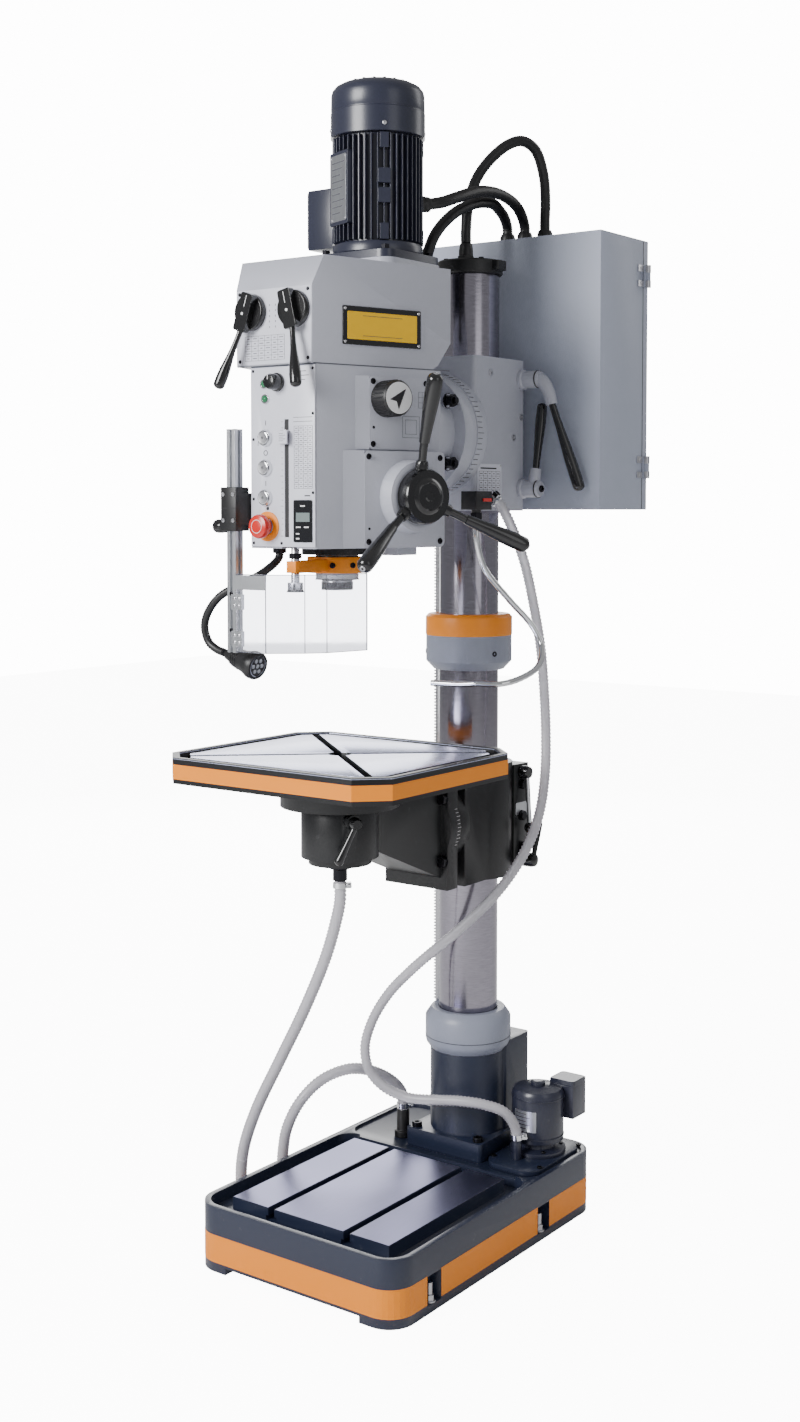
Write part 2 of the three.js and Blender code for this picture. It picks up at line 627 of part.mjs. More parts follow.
function lampHead() {
  const aim = at(0.96, -0.03, -0.24).normalize();
  const along = (distance) => lampTip.clone().addScaledVector(aim, distance);
  return join(
    bar(along(7.5), along(22), 9, 14, 14),
    bar(along(21), along(70), 14, 20, 25),
    bar(along(69), along(84), 25, 20),
  );
}

// ---------------------------------------------------------------- hoses and conduits

const supplyRoute = [
  [144, -46, 159.5], [143, -50, 184], [132, -72, 218], [104, -98, 234], [62, -118, 238], [8, -128, 232],
  [-46, -142, 230], [-92, -156, 246], [-120, -165, 276], [-130, -165, 318], [-118, -158, 370], [-88, -145, 426],
  [-43, -132, 477], [0, -120, 518], [42, -107, 556], [76, -92, 592], [108, -74, 630], [136, -52, 676], [160, -34, 730],
  [176, -20, 792], [180, -8, 862], [174, 4, 940], [166, 10, 1020], [158, 10, 1100], [146, 4, 1180], [134, -10, 1260],
  [122, -32, 1322], [110, -58, 1370], [105, -72, 1379.6], [105, -86.6, 1380],
];

const drainRoute = [
  [0, hub.y, 704.5], [0, hub.y, 670], [-12, -407, 622], [-34, -407, 560], [-85, -405, 457], [-145, -402, 353],
  [-205, -400, 247], [-244, -392, 161], [-268, -372, 86], [-288, -336, 36], [-296, -292, 17], [-290, -256, 22],
  [-272, -250, 60], [-256, -264, 112], [-240, -270, 166], [-216, -258, 220], [-190, -224, 258], [-160, -174, 272],
  [-138, -122, 256], [-122, -80, 226], [-118, -57, 196], [-118, -56, 182], [-118, -56, 168.8],
];

const columnConduitRoute = [
  [-6, -4, 1875], [-6, -4, 1900], [-6, 4, 1950], [0, 22, 2000], [15, 46, 2039], [36, 78, 2071], [50, 108, 2082],
  [60, 140, 2070], [62, 168, 2028], [59, 182, 1978], [58, 182, 1940], [58, 182, 1916],
];
const motorConduitRoute = [
  [47.4, -226.4, 1912], [54, -217, 1913], [66, -194, 1918], [70, -140, 1936], [64, -80, 1954], [55, -20, 1965],
  [40, 60, 1969], [26, 128, 1960], [13, 172, 1942], [11, 182, 1926], [11, 182, 1916.5],
];
const controlConduitRoute = [
  [4, -199, 1752], [4, -186, 1753], [7, -172, 1774], [10, -160, 1824], [15, -138, 1872], [21, -90, 1915],
  [23, -24, 1944], [13, 54, 1958], [-8, 112, 1958], [-24, 162, 1946], [-30, 181, 1930], [-30, 182, 1917],
];

// ---------------------------------------------------------------- the pieces by name

add("base_casting", baseCasting(), finish.slate);
add("tank_cover", tankCover(), finish.slate);
add("column_foot", columnFoot(), finish.slate);
const columnBar = bar(at(0, 0, column.bottom), at(0, 0, column.top), column.radius, 36);
add("column", columnBar, finish.groundSteel);
add("foot_collar", footCollar(), finish.lightGrey);
add("upper_collar", upperCollar(), finish.orange);
add("column_cap", columnCap(), finish.black);
add("coolant_pump", coolantPump(), finish.slate);
add("return_fitting", returnFitting(), finish.black);
add("rack", rack(), finish.groundSteel);

add("table_bracket", tableBracket(), finish.nearBlack);
const upperHub = [at(80.3, 66, 848), at(100, 66, 848)];
const lowerHub = [at(80.3, 66, 676), at(116, 66, 676)];
add("bracket_clamp_lever_upper",
  clampLever(...upperHub, 12, at(93, 66, 848), at(108, 54, 742), [6, 6], 11), finish.chrome);
add("bracket_clamp_lever_lower",
  clampLever(...lowerHub, 14, at(108, 66, 676), at(112, 84, 750), [6, 6], 0), finish.black);
add("elevating_crank", elevatingCrank(), finish.black);
add("crank_grip", crankGrip(), finish.black);
add("table_arm", tableArm(), finish.nearBlack);
add("table_lock_lever", tableLockLever(), finish.black);
add("drain_fitting", drainFitting(), finish.nearBlack);
add("work_table", workTable(), finish.groundSteel);

add("head_bracket", headBracketCasting(), finish.lightGrey);
add("head_clamp_lever_upper", upperClampLever(), finish.lightGrey);
add("head_clamp_lever_lower", lowerClampLever(), finish.lightGrey);
add("coolant_valve", coolantValve(), finish.black);
add("coolant_nozzle", pipe(nozzleRoute, 6, 8, 26), finish.chrome);
add("electrical_cabinet", electricalCabinet(), finish.cabinetGrey);
add("cabinet_door", cabinetDoor(), finish.cabinetGrey);

add("head_casting", headCasting(), finish.lightGrey);
add("gearbox_housing", gearboxHousing(), finish.lightGrey);
add("control_panel", controlPanel(), finish.panelWhite);
add("feed_cover", feedCover(), finish.lightGrey);
add("selector_cover", selectorCover(), finish.lightGrey);
add("motor_body", motorBody(), finish.slate);
add("motor_fan_cover", motorFanCover(), finish.slate);
add("motor_terminal_box", motorTerminalBox(), finish.slate);
add("speed_lever_left", speedLever(-47, -0.34), finish.black);
add("speed_lever_right", speedLever(47, 0.24), finish.black);
add("feed_selector_knob", feedSelectorKnob(), finish.black);
add("capstan_hub", capstanHub(), finish.black);
[95, 215, 335].forEach((degrees, i) => {
  add(`capstan_arm_${i + 1}`, capstanArm(degrees), finish.black);
});
add("quill", quill(), finish.groundSteel);
add("quill_collar", quillCollar(), finish.orange);
add("depth_rod", depthRod(), finish.chrome);
add("spindle", spindle(), finish.groundSteel);
["start", "reverse", "stop"].forEach((use, i) => {
  add(`push_button_${use}`, pushButton(button.z[i]), finish.green);
});
add("emergency_stop_button", emergencyStop(), finish.red);
add("mode_selector", modeSelector(), finish.black);

add("guard_clamp", guardClamp(), finish.black);
add("guard_post", guardPost(), finish.aluminium);
add("guard_shield", guardShield(), finish.clear);
add("lamp_arm", pipe(lampRoute, 7.5, 8, 18), finish.black);
add("lamp_head", lampHead(), finish.black);

add("supply_hose", pipe(supplyRoute, supplyHose.radius, 8, 44), finish.hose);
add("drain_hose", pipe(drainRoute, drainHose.radius, 8, 36), finish.hose);
add("column_conduit", pipe(columnConduitRoute, conduit.radius, 8, 20), finish.black);
add("motor_conduit", pipe(motorConduitRoute, conduit.radius, 8, 16), finish.black);
add("control_conduit", pipe(controlConduitRoute, conduit.radius, 8, 18), finish.black);

export default group;
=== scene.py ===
import math

import bmesh
import bpy
from mathutils import Matrix, Vector


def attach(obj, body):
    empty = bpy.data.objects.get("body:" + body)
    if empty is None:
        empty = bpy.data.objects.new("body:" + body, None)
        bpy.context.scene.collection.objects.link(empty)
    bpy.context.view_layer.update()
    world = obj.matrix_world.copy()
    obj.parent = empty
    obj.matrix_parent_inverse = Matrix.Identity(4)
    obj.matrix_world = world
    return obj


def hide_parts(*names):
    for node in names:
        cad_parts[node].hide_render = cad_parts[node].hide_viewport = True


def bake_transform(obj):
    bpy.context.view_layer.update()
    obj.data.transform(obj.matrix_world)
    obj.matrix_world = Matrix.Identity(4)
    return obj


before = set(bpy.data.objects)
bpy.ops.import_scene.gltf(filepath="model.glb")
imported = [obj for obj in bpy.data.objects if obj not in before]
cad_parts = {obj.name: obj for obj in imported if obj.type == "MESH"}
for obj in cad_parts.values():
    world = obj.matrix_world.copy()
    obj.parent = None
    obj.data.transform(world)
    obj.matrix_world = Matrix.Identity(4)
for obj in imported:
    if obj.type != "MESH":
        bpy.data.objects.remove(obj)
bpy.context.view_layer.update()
print("drill press: frame loaded")

mm = 0.001
up, right = Vector((0, 0, 1)), Vector((1, 0, 0))


# ---- solids: lists of points in millimetres and faces, closed and facing out

def block(x0, x1, y0, y1, z0, z1):
    points = [(x, y, z) for z in (z0, z1) for y in (y0, y1) for x in (x0, x1)]
    faces = [(0, 2, 3, 1), (4, 5, 7, 6), (0, 1, 5, 4), (2, 6, 7, 3), (0, 4, 6, 2), (1, 3, 7, 5)]
    return points, faces


def prism(outline, low, high):
    count = len(outline)
    points = [(x, y, low) for x, y in outline] + [(x, y, high) for x, y in outline]
    faces = [tuple(reversed(range(count))), tuple(range(count, 2 * count))]
    faces += [(i, (i + 1) % count, (i + 1) % count + count, i + count) for i in range(count)]
    return points, faces


def roundedOutline(x0, x1, y0, y1, radius, steps=5):
    corners = [(x1 - radius, y0 + radius, -90), (x1 - radius, y1 - radius, 0),
               (x0 + radius, y1 - radius, 90), (x0 + radius, y0 + radius, 180)]
    outline = []
    for x, y, start in corners:
        for i in range(steps + 1):
            turn = math.radians(start + 90 * i / steps)
            outline.append((x + radius * math.cos(turn), y + radius * math.sin(turn)))
    return outline


def roundedBlock(x0, x1, y0, y1, z0, z1, radius):
    return prism(roundedOutline(x0, x1, y0, y1, radius), z0, z1)


def lathe(profile, sides=40, x=0, y=0):
    points, faces, rings = [], [], []
    for radius, height in profile:
        if radius < 1e-6:
            rings.append([len(points)])
            points.append((x, y, height))
            continue
        rings.append(list(range(len(points), len(points) + sides)))
        for i in range(sides):
            turn = 2 * math.pi * i / sides
            points.append((x + radius * math.cos(turn), y + radius * math.sin(turn), height))
    for low, high in zip(rings, rings[1:]):
        for i in range(sides):
            j = (i + 1) % sides
            if len(low) == 1 and len(high) > 1:
                faces.append((low[0], high[j], high[i]))
            elif len(high) == 1 and len(low) > 1:
                faces.append((low[i], low[j], high[0]))
            elif len(low) > 1:
                faces.append((low[i], low[j], high[j], high[i]))
    return points, faces


def disc(x, y, z0, z1, radius, endRadius=None, sides=32):
    end = radius if endRadius is None else endRadius
    return lathe([(0, z0), (radius, z0), (end, z1), (0, z1)], sides, x, y)


def ringOf(x, y, z0, z1, inner, outer, sides=36):
    return lathe([(inner, z0), (outer, z0), (outer, z1), (inner, z1), (inner, z0)], sides, x, y)


def hexagon(x, y, z0, z1, across, turn=0):
    radius = across / math.sqrt(3)
    outline = [(x + radius * math.cos(turn + k * math.pi / 3),
                y + radius * math.sin(turn + k * math.pi / 3))
               for k in range(6)]
    return prism(outline, z0, z1)


def dome(x, y, z, radius, height, sides=24, steps=5):
    profile = [(0, z)] + [(radius * math.cos(math.pi / 2 * i / steps),
                           z + height * math.sin(math.pi / 2 * i / steps))
                          for i in range(steps)] + [(0, z + height)]
    return lathe(profile, sides, x, y)


def sweep(route, radius, sides=16):
    places = [Vector(p) for p in route]
    radii = radius if isinstance(radius, (list, tuple)) else [radius] * len(places)
    ahead = [(places[min(i + 1, len(places) - 1)] - places[max(i - 1, 0)]).normalized()
             for i in range(len(places))]
    across = ahead[0].orthogonal().normalized()
    points, faces = [], []
    for i, place in enumerate(places):
        if i:
            across = (ahead[i - 1].rotation_difference(ahead[i]) @ across).normalized()
        other = ahead[i].cross(across)
        for k in range(sides):
            turn = 2 * math.pi * k / sides
            points.append(tuple(place + (across * math.cos(turn) + other * math.sin(turn)) * radii[i]))
    for i in range(len(places) - 1):
        for k in range(sides):
            n = (k + 1) % sides
            faces.append((i * sides + k, i * sides + n, (i + 1) * sides + n, (i + 1) * sides + k))
    faces.append(tuple(reversed(range(sides))))
    faces.append(tuple(range((len(places) - 1) * sides, len(places) * sides)))
    return points, faces


def moved(matrix, shape):
    return [tuple(matrix @ Vector(p)) for p in shape[0]], shape[1]


def seat(origin, across, upward):
    across, upward = Vector(across).normalized(), Vector(upward).normalized()
    out = across.cross(upward)
    upward = out.cross(across)
    return Matrix((
        (across.x, upward.x, out.x, origin[0]),
        (across.y, upward.y, out.y, origin[1]),
        (across.z, upward.z, out.z, origin[2]),
        (0, 0, 0, 1),
    ))


def smoothRoute(points, steps):
    p = [Vector(q) for q in points]
    p = [p[0] * 2 - p[1]] + p + [p[-1] * 2 - p[-2]]
    count = len(points) - 1
    route = []
    for step in range(steps + 1):
        place = step / steps * count
        i = min(int(place), count - 1)
        t = place - i
        a, b, c, d = p[i:i + 4]
        ab, bc, cd = [max(math.sqrt((n - m).length), 1e-4) for m, n in ((a, b), (b, c), (c, d))]
        t1 = ((b - a) / ab - (c - a) / (ab + bc) + (c - b) / bc) * bc
        t2 = ((c - b) / bc - (d - b) / (bc + cd) + (d - c) / cd) * bc
        square, cube = -3 * b + 3 * c - 2 * t1 - t2, 2 * b - 2 * c + t1 + t2
        route.append(b + t1 * t + square * t ** 2 + cube * t ** 3)
    return route


def evenRoute(points, spacing):
    fine = smoothRoute(points, 40 * len(points))
    total = sum((b - a).length for a, b in zip(fine, fine[1:]))
    count = max(4, round(total / spacing))
    even, travelled, wanted = [fine[0]], 0, total / count
    for a, b in zip(fine, fine[1:]):
        step = (b - a).length
        while travelled + step >= wanted - 1e-9 and len(even) < count:
            even.append(a.lerp(b, (wanted - travelled) / max(step, 1e-9)))
            wanted += total / count
        travelled += step
    even.append(fine[-1])
    return even, total


def piece(name, body, look, *shapes, bevel=0, angle=35, slotName=None):
    points, faces = [], []
    for shapePoints, shapeFaces in shapes:
        start = len(points)
        points += [(x * mm, y * mm, z * mm) for x, y, z in shapePoints]
        faces += [tuple(start + i for i in face) for face in shapeFaces]
    mesh = bpy.data.meshes.new(name)
    mesh.from_pydata(points, [], faces)
    mesh.update()
    mesh.polygons.foreach_set("use_smooth", [True] * len(mesh.polygons))
    mesh.set_sharp_from_angle(angle=math.radians(angle))
    mesh.materials.append(look)
    made = bpy.data.objects.new(name, mesh)
    bpy.context.scene.collection.objects.link(made)
    if bevel:
        edge = made.modifiers.new("edge", "BEVEL")
        edge.width, edge.segments, edge.limit_method = bevel * mm, 2, "ANGLE"
        edge.angle_limit = math.radians(angle)
        edge.harden_normals = True
    if body:
        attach(made, body)
    return made


# ---- shader node groups

def tone(red, green, blue):
    return tuple((c / 255 / 12.92) if c <= 10 else ((c / 255 + 0.055) / 1.055) ** 2.4
                 for c in (red, green, blue)) + (1,)


class Nodes:
    def __init__(self, tree):
        self.tree = tree

    def add(self, kind, values=None, links=None, **settings):
        node = self.tree.nodes.new(kind)
        for key, value in settings.items():
            setattr(node, key, value)
        for key, value in (values or {}).items():
            node.inputs[key].default_value = value
        for key, source in (links or {}).items():
            self.tree.links.new(source, node.inputs[key])
        return node

    def math(self, operation, first, second, clamp=False):
        node = self.add("ShaderNodeMath", operation=operation, use_clamp=clamp)
        for i, value in enumerate((first, second)):
            if isinstance(value, (int, float)):
                node.inputs[i].default_value = value
            else:
                self.tree.links.new(value, node.inputs[i])
        return node.outputs[0]

    def blend(self, amount, first, second, mode="MIX"):
        node = self.add("ShaderNodeMix", data_type="RGBA", blend_type=mode)
        for key, value in ((0, amount), (6, first), (7, second)):
            if isinstance(value, (int, float, tuple)):
                node.inputs[key].default_value = value
            else:
                self.tree.links.new(value, node.inputs[key])
        return node.outputs[2]


def nodeGroup(name, inputs, outputs, build):
    tree = bpy.data.node_groups.new(name, "ShaderNodeTree")
    for label, kind, value in inputs:
        tree.interface.new_socket(label, in_out="INPUT", socket_type=kind).default_value = value
    for label, kind in outputs:
        tree.interface.new_socket(label, in_out="OUTPUT", socket_type=kind)
    nodes = Nodes(tree)
    given = nodes.add("NodeGroupInput")
    results = build(nodes, given.outputs)
    taken = nodes.add("NodeGroupOutput")
    for label, source in results.items():
        tree.links.new(source, taken.inputs[label])
    return tree


number, colour, vector = "NodeSocketFloat", "NodeSocketColor", "NodeSocketVector"


def buildEnamel(nodes, given):
    place = nodes.add("ShaderNodeTexCoord").outputs["Object"]
    drift = nodes.add("ShaderNodeTexNoise", {"Scale": 3.1, "Detail": 3.0}, {"Vector": place}).outputs["Fac"]
    peel = nodes.add("ShaderNodeTexNoise", {"Detail": 2.0},
                     {"Vector": place, "Scale": given["Grain Scale"]}).outputs["Fac"]
    scuff = nodes.add("ShaderNodeTexNoise", {"Scale": 46.0, "Detail": 8.0, "Roughness": 0.7},
                      {"Vector": place}).outputs["Fac"]
    marks = nodes.add("ShaderNodeMapRange", {"From Min": 0.63, "From Max": 0.74},
                      {"Value": scuff}).outputs[0]
    dark = nodes.blend(nodes.math("MULTIPLY", drift, given["Drift"]), given["Color"], (0.0, 0.0, 0.0, 1.0))
    worn = nodes.blend(nodes.math("MULTIPLY", marks, given["Scuffs"]), dark, given["Scuff Color"])
    rough = nodes.math("ADD", given["Roughness"],
                       nodes.math("MULTIPLY", nodes.math("SUBTRACT", drift, 0.5), 0.16))
    rough = nodes.math("ADD", rough, nodes.math("MULTIPLY", marks, 0.12), clamp=True)
    return {"Color": worn, "Roughness": rough, "Height": peel}


enamelGroup = nodeGroup("enamelCoat", [
    ("Color", colour, (0.5, 0.5, 0.5, 1)), ("Scuff Color", colour, (0.5, 0.5, 0.5, 1)),
    ("Drift", number, 0.1),
    ("Scuffs", number, 0.1), ("Roughness", number, 0.4), ("Grain Scale", number, 300.0),
], [("Color", colour), ("Roughness", number), ("Height", number)], buildEnamel)


def buildGrinding(nodes, given):
    place = nodes.add("ShaderNodeTexCoord").outputs["Object"]
    drawn = nodes.add("ShaderNodeVectorMath", None, {0: place, 1: given["Lay"]},
                      operation="MULTIPLY").outputs[0]
    lines = nodes.add("ShaderNodeTexNoise", {"Scale": 1.0, "Detail": 6.0, "Roughness": 0.65},
                      {"Vector": drawn}).outputs["Fac"]
    cloud = nodes.add("ShaderNodeTexNoise", {"Scale": 5.0, "Detail": 3.0}, {"Vector": place}).outputs["Fac"]
    shade = nodes.math("MULTIPLY", nodes.math("SUBTRACT", lines, 0.5), given["Contrast"])
    bright = nodes.math("ADD", 0.5, shade, clamp=True)
    toned = nodes.blend(bright, (0.0, 0.0, 0.0, 1.0), given["Color"])
    doubled = nodes.blend(1.0, toned, (2.0, 2.0, 2.0, 1.0), "MULTIPLY")
    rough = nodes.math("ADD", given["Roughness"],
                       nodes.math("MULTIPLY", nodes.math("SUBTRACT", cloud, 0.5), 0.14))
    rough = nodes.math("ADD", rough, nodes.math("MULTIPLY", nodes.math("SUBTRACT", lines, 0.5), 0.2),
                       clamp=True)
    return {"Color": doubled, "Roughness": rough, "Height": lines}


grindingGroup = nodeGroup("grindingMarks", [
    ("Color", colour, (0.5, 0.5, 0.5, 1)), ("Lay", vector, (40, 40, 1500)), ("Contrast", number, 0.3),
    ("Roughness", number, 0.25),
], [("Color", colour), ("Roughness", number), ("Height", number)], buildGrinding)


def buildHeightBand(nodes, given):
    height = nodes.add("ShaderNodeSeparateXYZ", None,
                       {0: nodes.add("ShaderNodeTexCoord").outputs["Object"]}).outputs[2]
    above = nodes.math("GREATER_THAN", height, given["Low"])
    below = nodes.math("LESS_THAN", height, given["High"])
    return {"Mask": nodes.math("MULTIPLY", above, below)}


heightBandGroup = nodeGroup("heightBand", [("Low", number, 0.0), ("High", number, 1.0)], [("Mask", number)],
                            buildHeightBand)


def shader(name, metallic=0.0, **sockets):
    look = bpy.data.materials.new(name)
    look.use_nodes = True
    nodes = Nodes(look.node_tree)
    principled = look.node_tree.nodes["Principled BSDF"]
    principled.inputs["Metallic"].default_value = metallic
    for key, value in sockets.items():
        principled.inputs[key].default_value = value
    return look, nodes, principled


def placeGroup(nodes, tree, values=None, links=None):
    group = nodes.add("ShaderNodeGroup", node_tree=tree)
    for key, value in (values or {}).items():
        group.inputs[key].default_value = value
    for key, source in (links or {}).items():
        nodes.tree.links.new(source, group.inputs[key])
    return group.outputs


def addBump(nodes, principled, height, strength, distance):
    bump = nodes.add("ShaderNodeBump", {"Strength": strength, "Distance": distance}, {"Height": height})
    nodes.tree.links.new(bump.outputs[0], principled.inputs["Normal"])


def enamel(name, color, roughness=0.38, drift=0.1, scuffs=0.1, scuffColor=None, grain=260.0, bump=0.12,
           coat=0.15,
           metallic=0.0):
    look, nodes, principled = shader(name, metallic, **{"Coat Weight": coat, "Coat Roughness": 0.2})
    surface = placeGroup(nodes, enamelGroup, {
        "Color": color, "Scuff Color": scuffColor or color, "Drift": drift, "Scuffs": scuffs,
        "Roughness": roughness,
        "Grain Scale": grain,
    })
    nodes.tree.links.new(surface["Color"], principled.inputs["Base Color"])
    nodes.tree.links.new(surface["Roughness"], principled.inputs["Roughness"])
    addBump(nodes, principled, surface["Height"], bump, 0.0006)
    return look


def ground(name, color, lay, roughness=0.25, contrast=0.3, bump=0.1, metallic=1.0):
    look, nodes, principled = shader(name, metallic)
    surface = placeGroup(nodes, grindingGroup,
                         {"Color": color, "Lay": lay, "Contrast": contrast, "Roughness": roughness})
    nodes.tree.links.new(surface["Color"], principled.inputs["Base Color"])
    nodes.tree.links.new(surface["Roughness"], principled.inputs["Roughness"])
    addBump(nodes, principled, surface["Height"], bump, 0.0002)
    return look


def banded(name, bands, base, roughness=0.38):
    look, nodes, principled = shader(name, 0.0, **{"Coat Weight": 0.15, "Coat Roughness": 0.2})
    source = placeGroup(nodes, enamelGroup, {"Color": base, "Scuff Color": base, "Drift": 0.1,
                                             "Scuffs": 0.1,
                                             "Roughness": roughness, "Grain Scale": 260.0})
    mixed = source["Color"]
    for low, high, color in bands:
        mask = placeGroup(nodes, heightBandGroup, {"Low": low * mm, "High": high * mm})["Mask"]
        mixed = nodes.blend(mask, mixed, color)
    nodes.tree.links.new(mixed, principled.inputs["Base Color"])
    nodes.tree.links.new(source["Roughness"], principled.inputs["Roughness"])
    addBump(nodes, principled, source["Height"], 0.1, 0.0006)
    return look


paint = {
    "headGrey": tone(178, 180, 191),
    "panelWhite": tone(214, 215, 226),
    "slate": tone(32, 39, 60),
    "slateDark": tone(38, 41, 58),
    "nearBlack": tone(12, 13, 17),
    "orange": tone(246, 141, 0),
    "cabinet": tone(170, 176, 192),
    "yellow": tone(255, 200, 0),
    "ink": tone(28, 28, 32),
    "bare": tone(150, 150, 152),
}

headPaint = enamel("headEnamel", paint["headGrey"], 0.42, drift=0.05, scuffs=0.05, scuffColor=paint["bare"])
slatePaint = enamel("slateEnamel", paint["slate"], 0.36, scuffs=0.12, scuffColor=paint["bare"], coat=0.25)
motorPaint = enamel("motorEnamel", paint["slateDark"], 0.34, scuffs=0.08, scuffColor=paint["bare"],
                    coat=0.3)
armPaint = enamel("armEnamel", paint["nearBlack"], 0.4, scuffs=0.1, scuffColor=paint["bare"], coat=0.15,
                  grain=180)
orangePaint = enamel("orangeEnamel", paint["orange"], 0.5, drift=0.05, scuffs=0.12,
                     scuffColor=tone(190, 105, 0),
                     coat=0.0)
cabinetPaint = enamel("cabinetPowderCoat", paint["cabinet"], 0.5, drift=0.04, scuffs=0.03,
                      scuffColor=paint["bare"],
                      grain=900, bump=0.25, coat=0.0)
panelSheet = enamel("printedSheet", paint["panelWhite"], 0.35, drift=0.03, scuffs=0.03, grain=600,
                    bump=0.04)
glossBlack = enamel("glossBlackPlastic", tone(16, 16, 18), 0.16, drift=0.1, scuffs=0.05,
                    scuffColor=tone(60, 60, 62),
                    bump=0.05, coat=0.5)
satinBlack = enamel("satinBlackPlastic", tone(26, 26, 28), 0.42, drift=0.15, scuffs=0.08,
                    scuffColor=tone(70, 70, 72),
                    grain=700, bump=0.2, coat=0.0)
# Dark ink for print and seams; the same material is also used as painted shade in the motor vent openings
# and the panel slot.
inkAndPaintedShade = enamel("printedInkAndPaintedShade", paint["ink"], 0.5, bump=0.02, coat=0.0)
greyPrint = enamel("greyInk", tone(84, 86, 94), 0.5, bump=0.02, coat=0.0)
whitePrint = enamel("whiteInk", tone(235, 235, 236), 0.4, bump=0.02, coat=0.0)
yellowPlate = enamel("yellowPlate", paint["yellow"], 0.3, bump=0.03)
redCap = enamel("redMushroom", tone(205, 32, 22), 0.25, drift=0.08, bump=0.03, coat=0.4)
columnSteel = ground("columnSteel", tone(152, 148, 158), (60, 60, 900), 0.17, 0.5)
toolSteel = ground("toolSteel", tone(190, 190, 194), (60, 60, 1400), 0.28, 0.3)
bedSteel = ground("groundBed", tone(112, 112, 142), (1500, 26, 60), 0.32, 0.35)
screwSteel = ground("screwSteel", tone(200, 200, 204), (900, 900, 900), 0.3, 0.3)
blackOxide = ground("blackOxide", tone(44, 44, 48), (700, 700, 700), 0.4, 0.4)
aluminiumBar = ground("anodisedBar", tone(206, 208, 212), (900, 900, 25), 0.33, 0.2)
chromeMetal = ground("chromePlate", tone(225, 226, 228), (90, 90, 90), 0.08, 0.12, bump=0.02)
collarPaint = banded("collarEnamel", [(1119.5, 1162, paint["orange"])], tone(142, 147, 163))
footCollarPaint = enamel("footCollarEnamel", tone(148, 153, 170), 0.42, drift=0.05, scuffs=0.05)


def clearPlastic(name, color, transmission, roughness, ribs=False):
    look, nodes, principled = shader(name, 0.0, **{"Transmission Weight": transmission, "IOR": 1.45})
    place = nodes.add("ShaderNodeTexCoord").outputs["Object"]
    cloud = nodes.add("ShaderNodeTexNoise", {"Scale": 60.0, "Detail": 4.0},
                      {"Vector": place}).outputs["Fac"]
    rough = nodes.math("ADD", roughness, nodes.math("MULTIPLY", nodes.math("SUBTRACT", cloud, 0.5), 0.1),
                       clamp=True)
    nodes.tree.links.new(rough, principled.inputs["Roughness"])
    shade = nodes.blend(nodes.math("MULTIPLY", cloud, 0.15), color, (0.4, 0.4, 0.44, 1))
    nodes.tree.links.new(shade, principled.inputs["Base Color"])
    if ribs:
        addBump(nodes, principled, cloud, 0.2, 0.0005)
    return look


shieldClear = clearPlastic("clearShield", (0.93, 0.94, 1.0, 1), 0.96, 0.04)
hoseClear = clearPlastic("clearHose", tone(214, 212, 218), 0.3, 0.3, ribs=True)
greenLens = clearPlastic("greenLens", tone(10, 120, 70), 0.2, 0.15)
ledLens = clearPlastic("ledLens", tone(225, 230, 240), 0.5, 0.1)
displayGlass = enamel("displayGlass", tone(14, 15, 20), 0.12, bump=0.02, coat=0.5)
print("materials done")


# ---- camera and light

scene = bpy.context.scene
viewer = bpy.data.objects.new("camera", bpy.data.cameras.new("camera"))
viewer.data.sensor_width, viewer.data.lens, viewer.data.shift_y = 36, 43.18, -0.0776
viewer.location = (1.8571, -2.7582, 1.3624)
viewer.rotation_euler = (math.radians(90 - 3.06), 0, math.radians(36.27))
scene.collection.objects.link(viewer)
scene.camera = viewer

light = {"roomGlow": 0.42, "backdrop": 14, "key": 250, "fill": 12, "rim": 16, "back": 95,
         "floor": (0.93, 0.93, 0.935, 1)}
room = bpy.data.worlds.new("room")
room.use_nodes = True
roomNodes = Nodes(room.node_tree)
wayUp = roomNodes.add("ShaderNodeSeparateXYZ", None,
                      {0: roomNodes.add("ShaderNodeTexCoord").outputs["Generated"]})
lift = roomNodes.add("ShaderNodeMapRange", {"From Min": -0.3, "From Max": 0.9},
                     {"Value": wayUp.outputs[2]}).outputs[0]
glow = roomNodes.blend(lift, (0.72, 0.74, 0.78, 1), (1.0, 1.0, 1.0, 1))
wayOfLight = roomNodes.add("ShaderNodeLightPath").outputs
seen = roomNodes.math("MAXIMUM", wayOfLight["Is Camera Ray"],
                      roomNodes.math("MULTIPLY", wayOfLight["Is Transmission Ray"], 0.2))
power = roomNodes.math("ADD", light["roomGlow"],
                       roomNodes.math("MULTIPLY", seen, light["backdrop"] - light["roomGlow"]))
room.node_tree.links.new(roomNodes.blend(seen, glow, (1.0, 1.0, 1.0, 1)),
                         room.node_tree.nodes["Background"].inputs["Color"])
room.node_tree.links.new(power, room.node_tree.nodes["Background"].inputs["Strength"])
scene.world = room


def softLight(name, place, aim, size, power):
    lamp = bpy.data.lights.new(name, "AREA")
    lamp.shape, lamp.size, lamp.size_y, lamp.energy = "RECTANGLE", size[0], size[1], power
    made = bpy.data.objects.new(name, lamp)
    made.location = place
    made.rotation_euler = (Vector(aim) - Vector(place)).to_track_quat("-Z", "Y").to_euler()
    scene.collection.objects.link(made)
    return made


softLight("keyLight", (-0.9, -4.3, 2.7), (0, -0.3, 1.2), (1.8, 2.0), light["key"])
softLight("fillLight", (3.4, -1.2, 2.2), (0, -0.2, 1.2), (1.4, 2.6), light["fill"])
softLight("rimLight", (1.4, 2.6, 3.0), (0, 0, 1.3), (1.2, 2.0), light["rim"])
backLight = softLight("backLight", (-2.9, 3.3, 1.9), (0, -0.35, 0.7), (3.0, 2.4), light["back"])
backLight.visible_camera = False

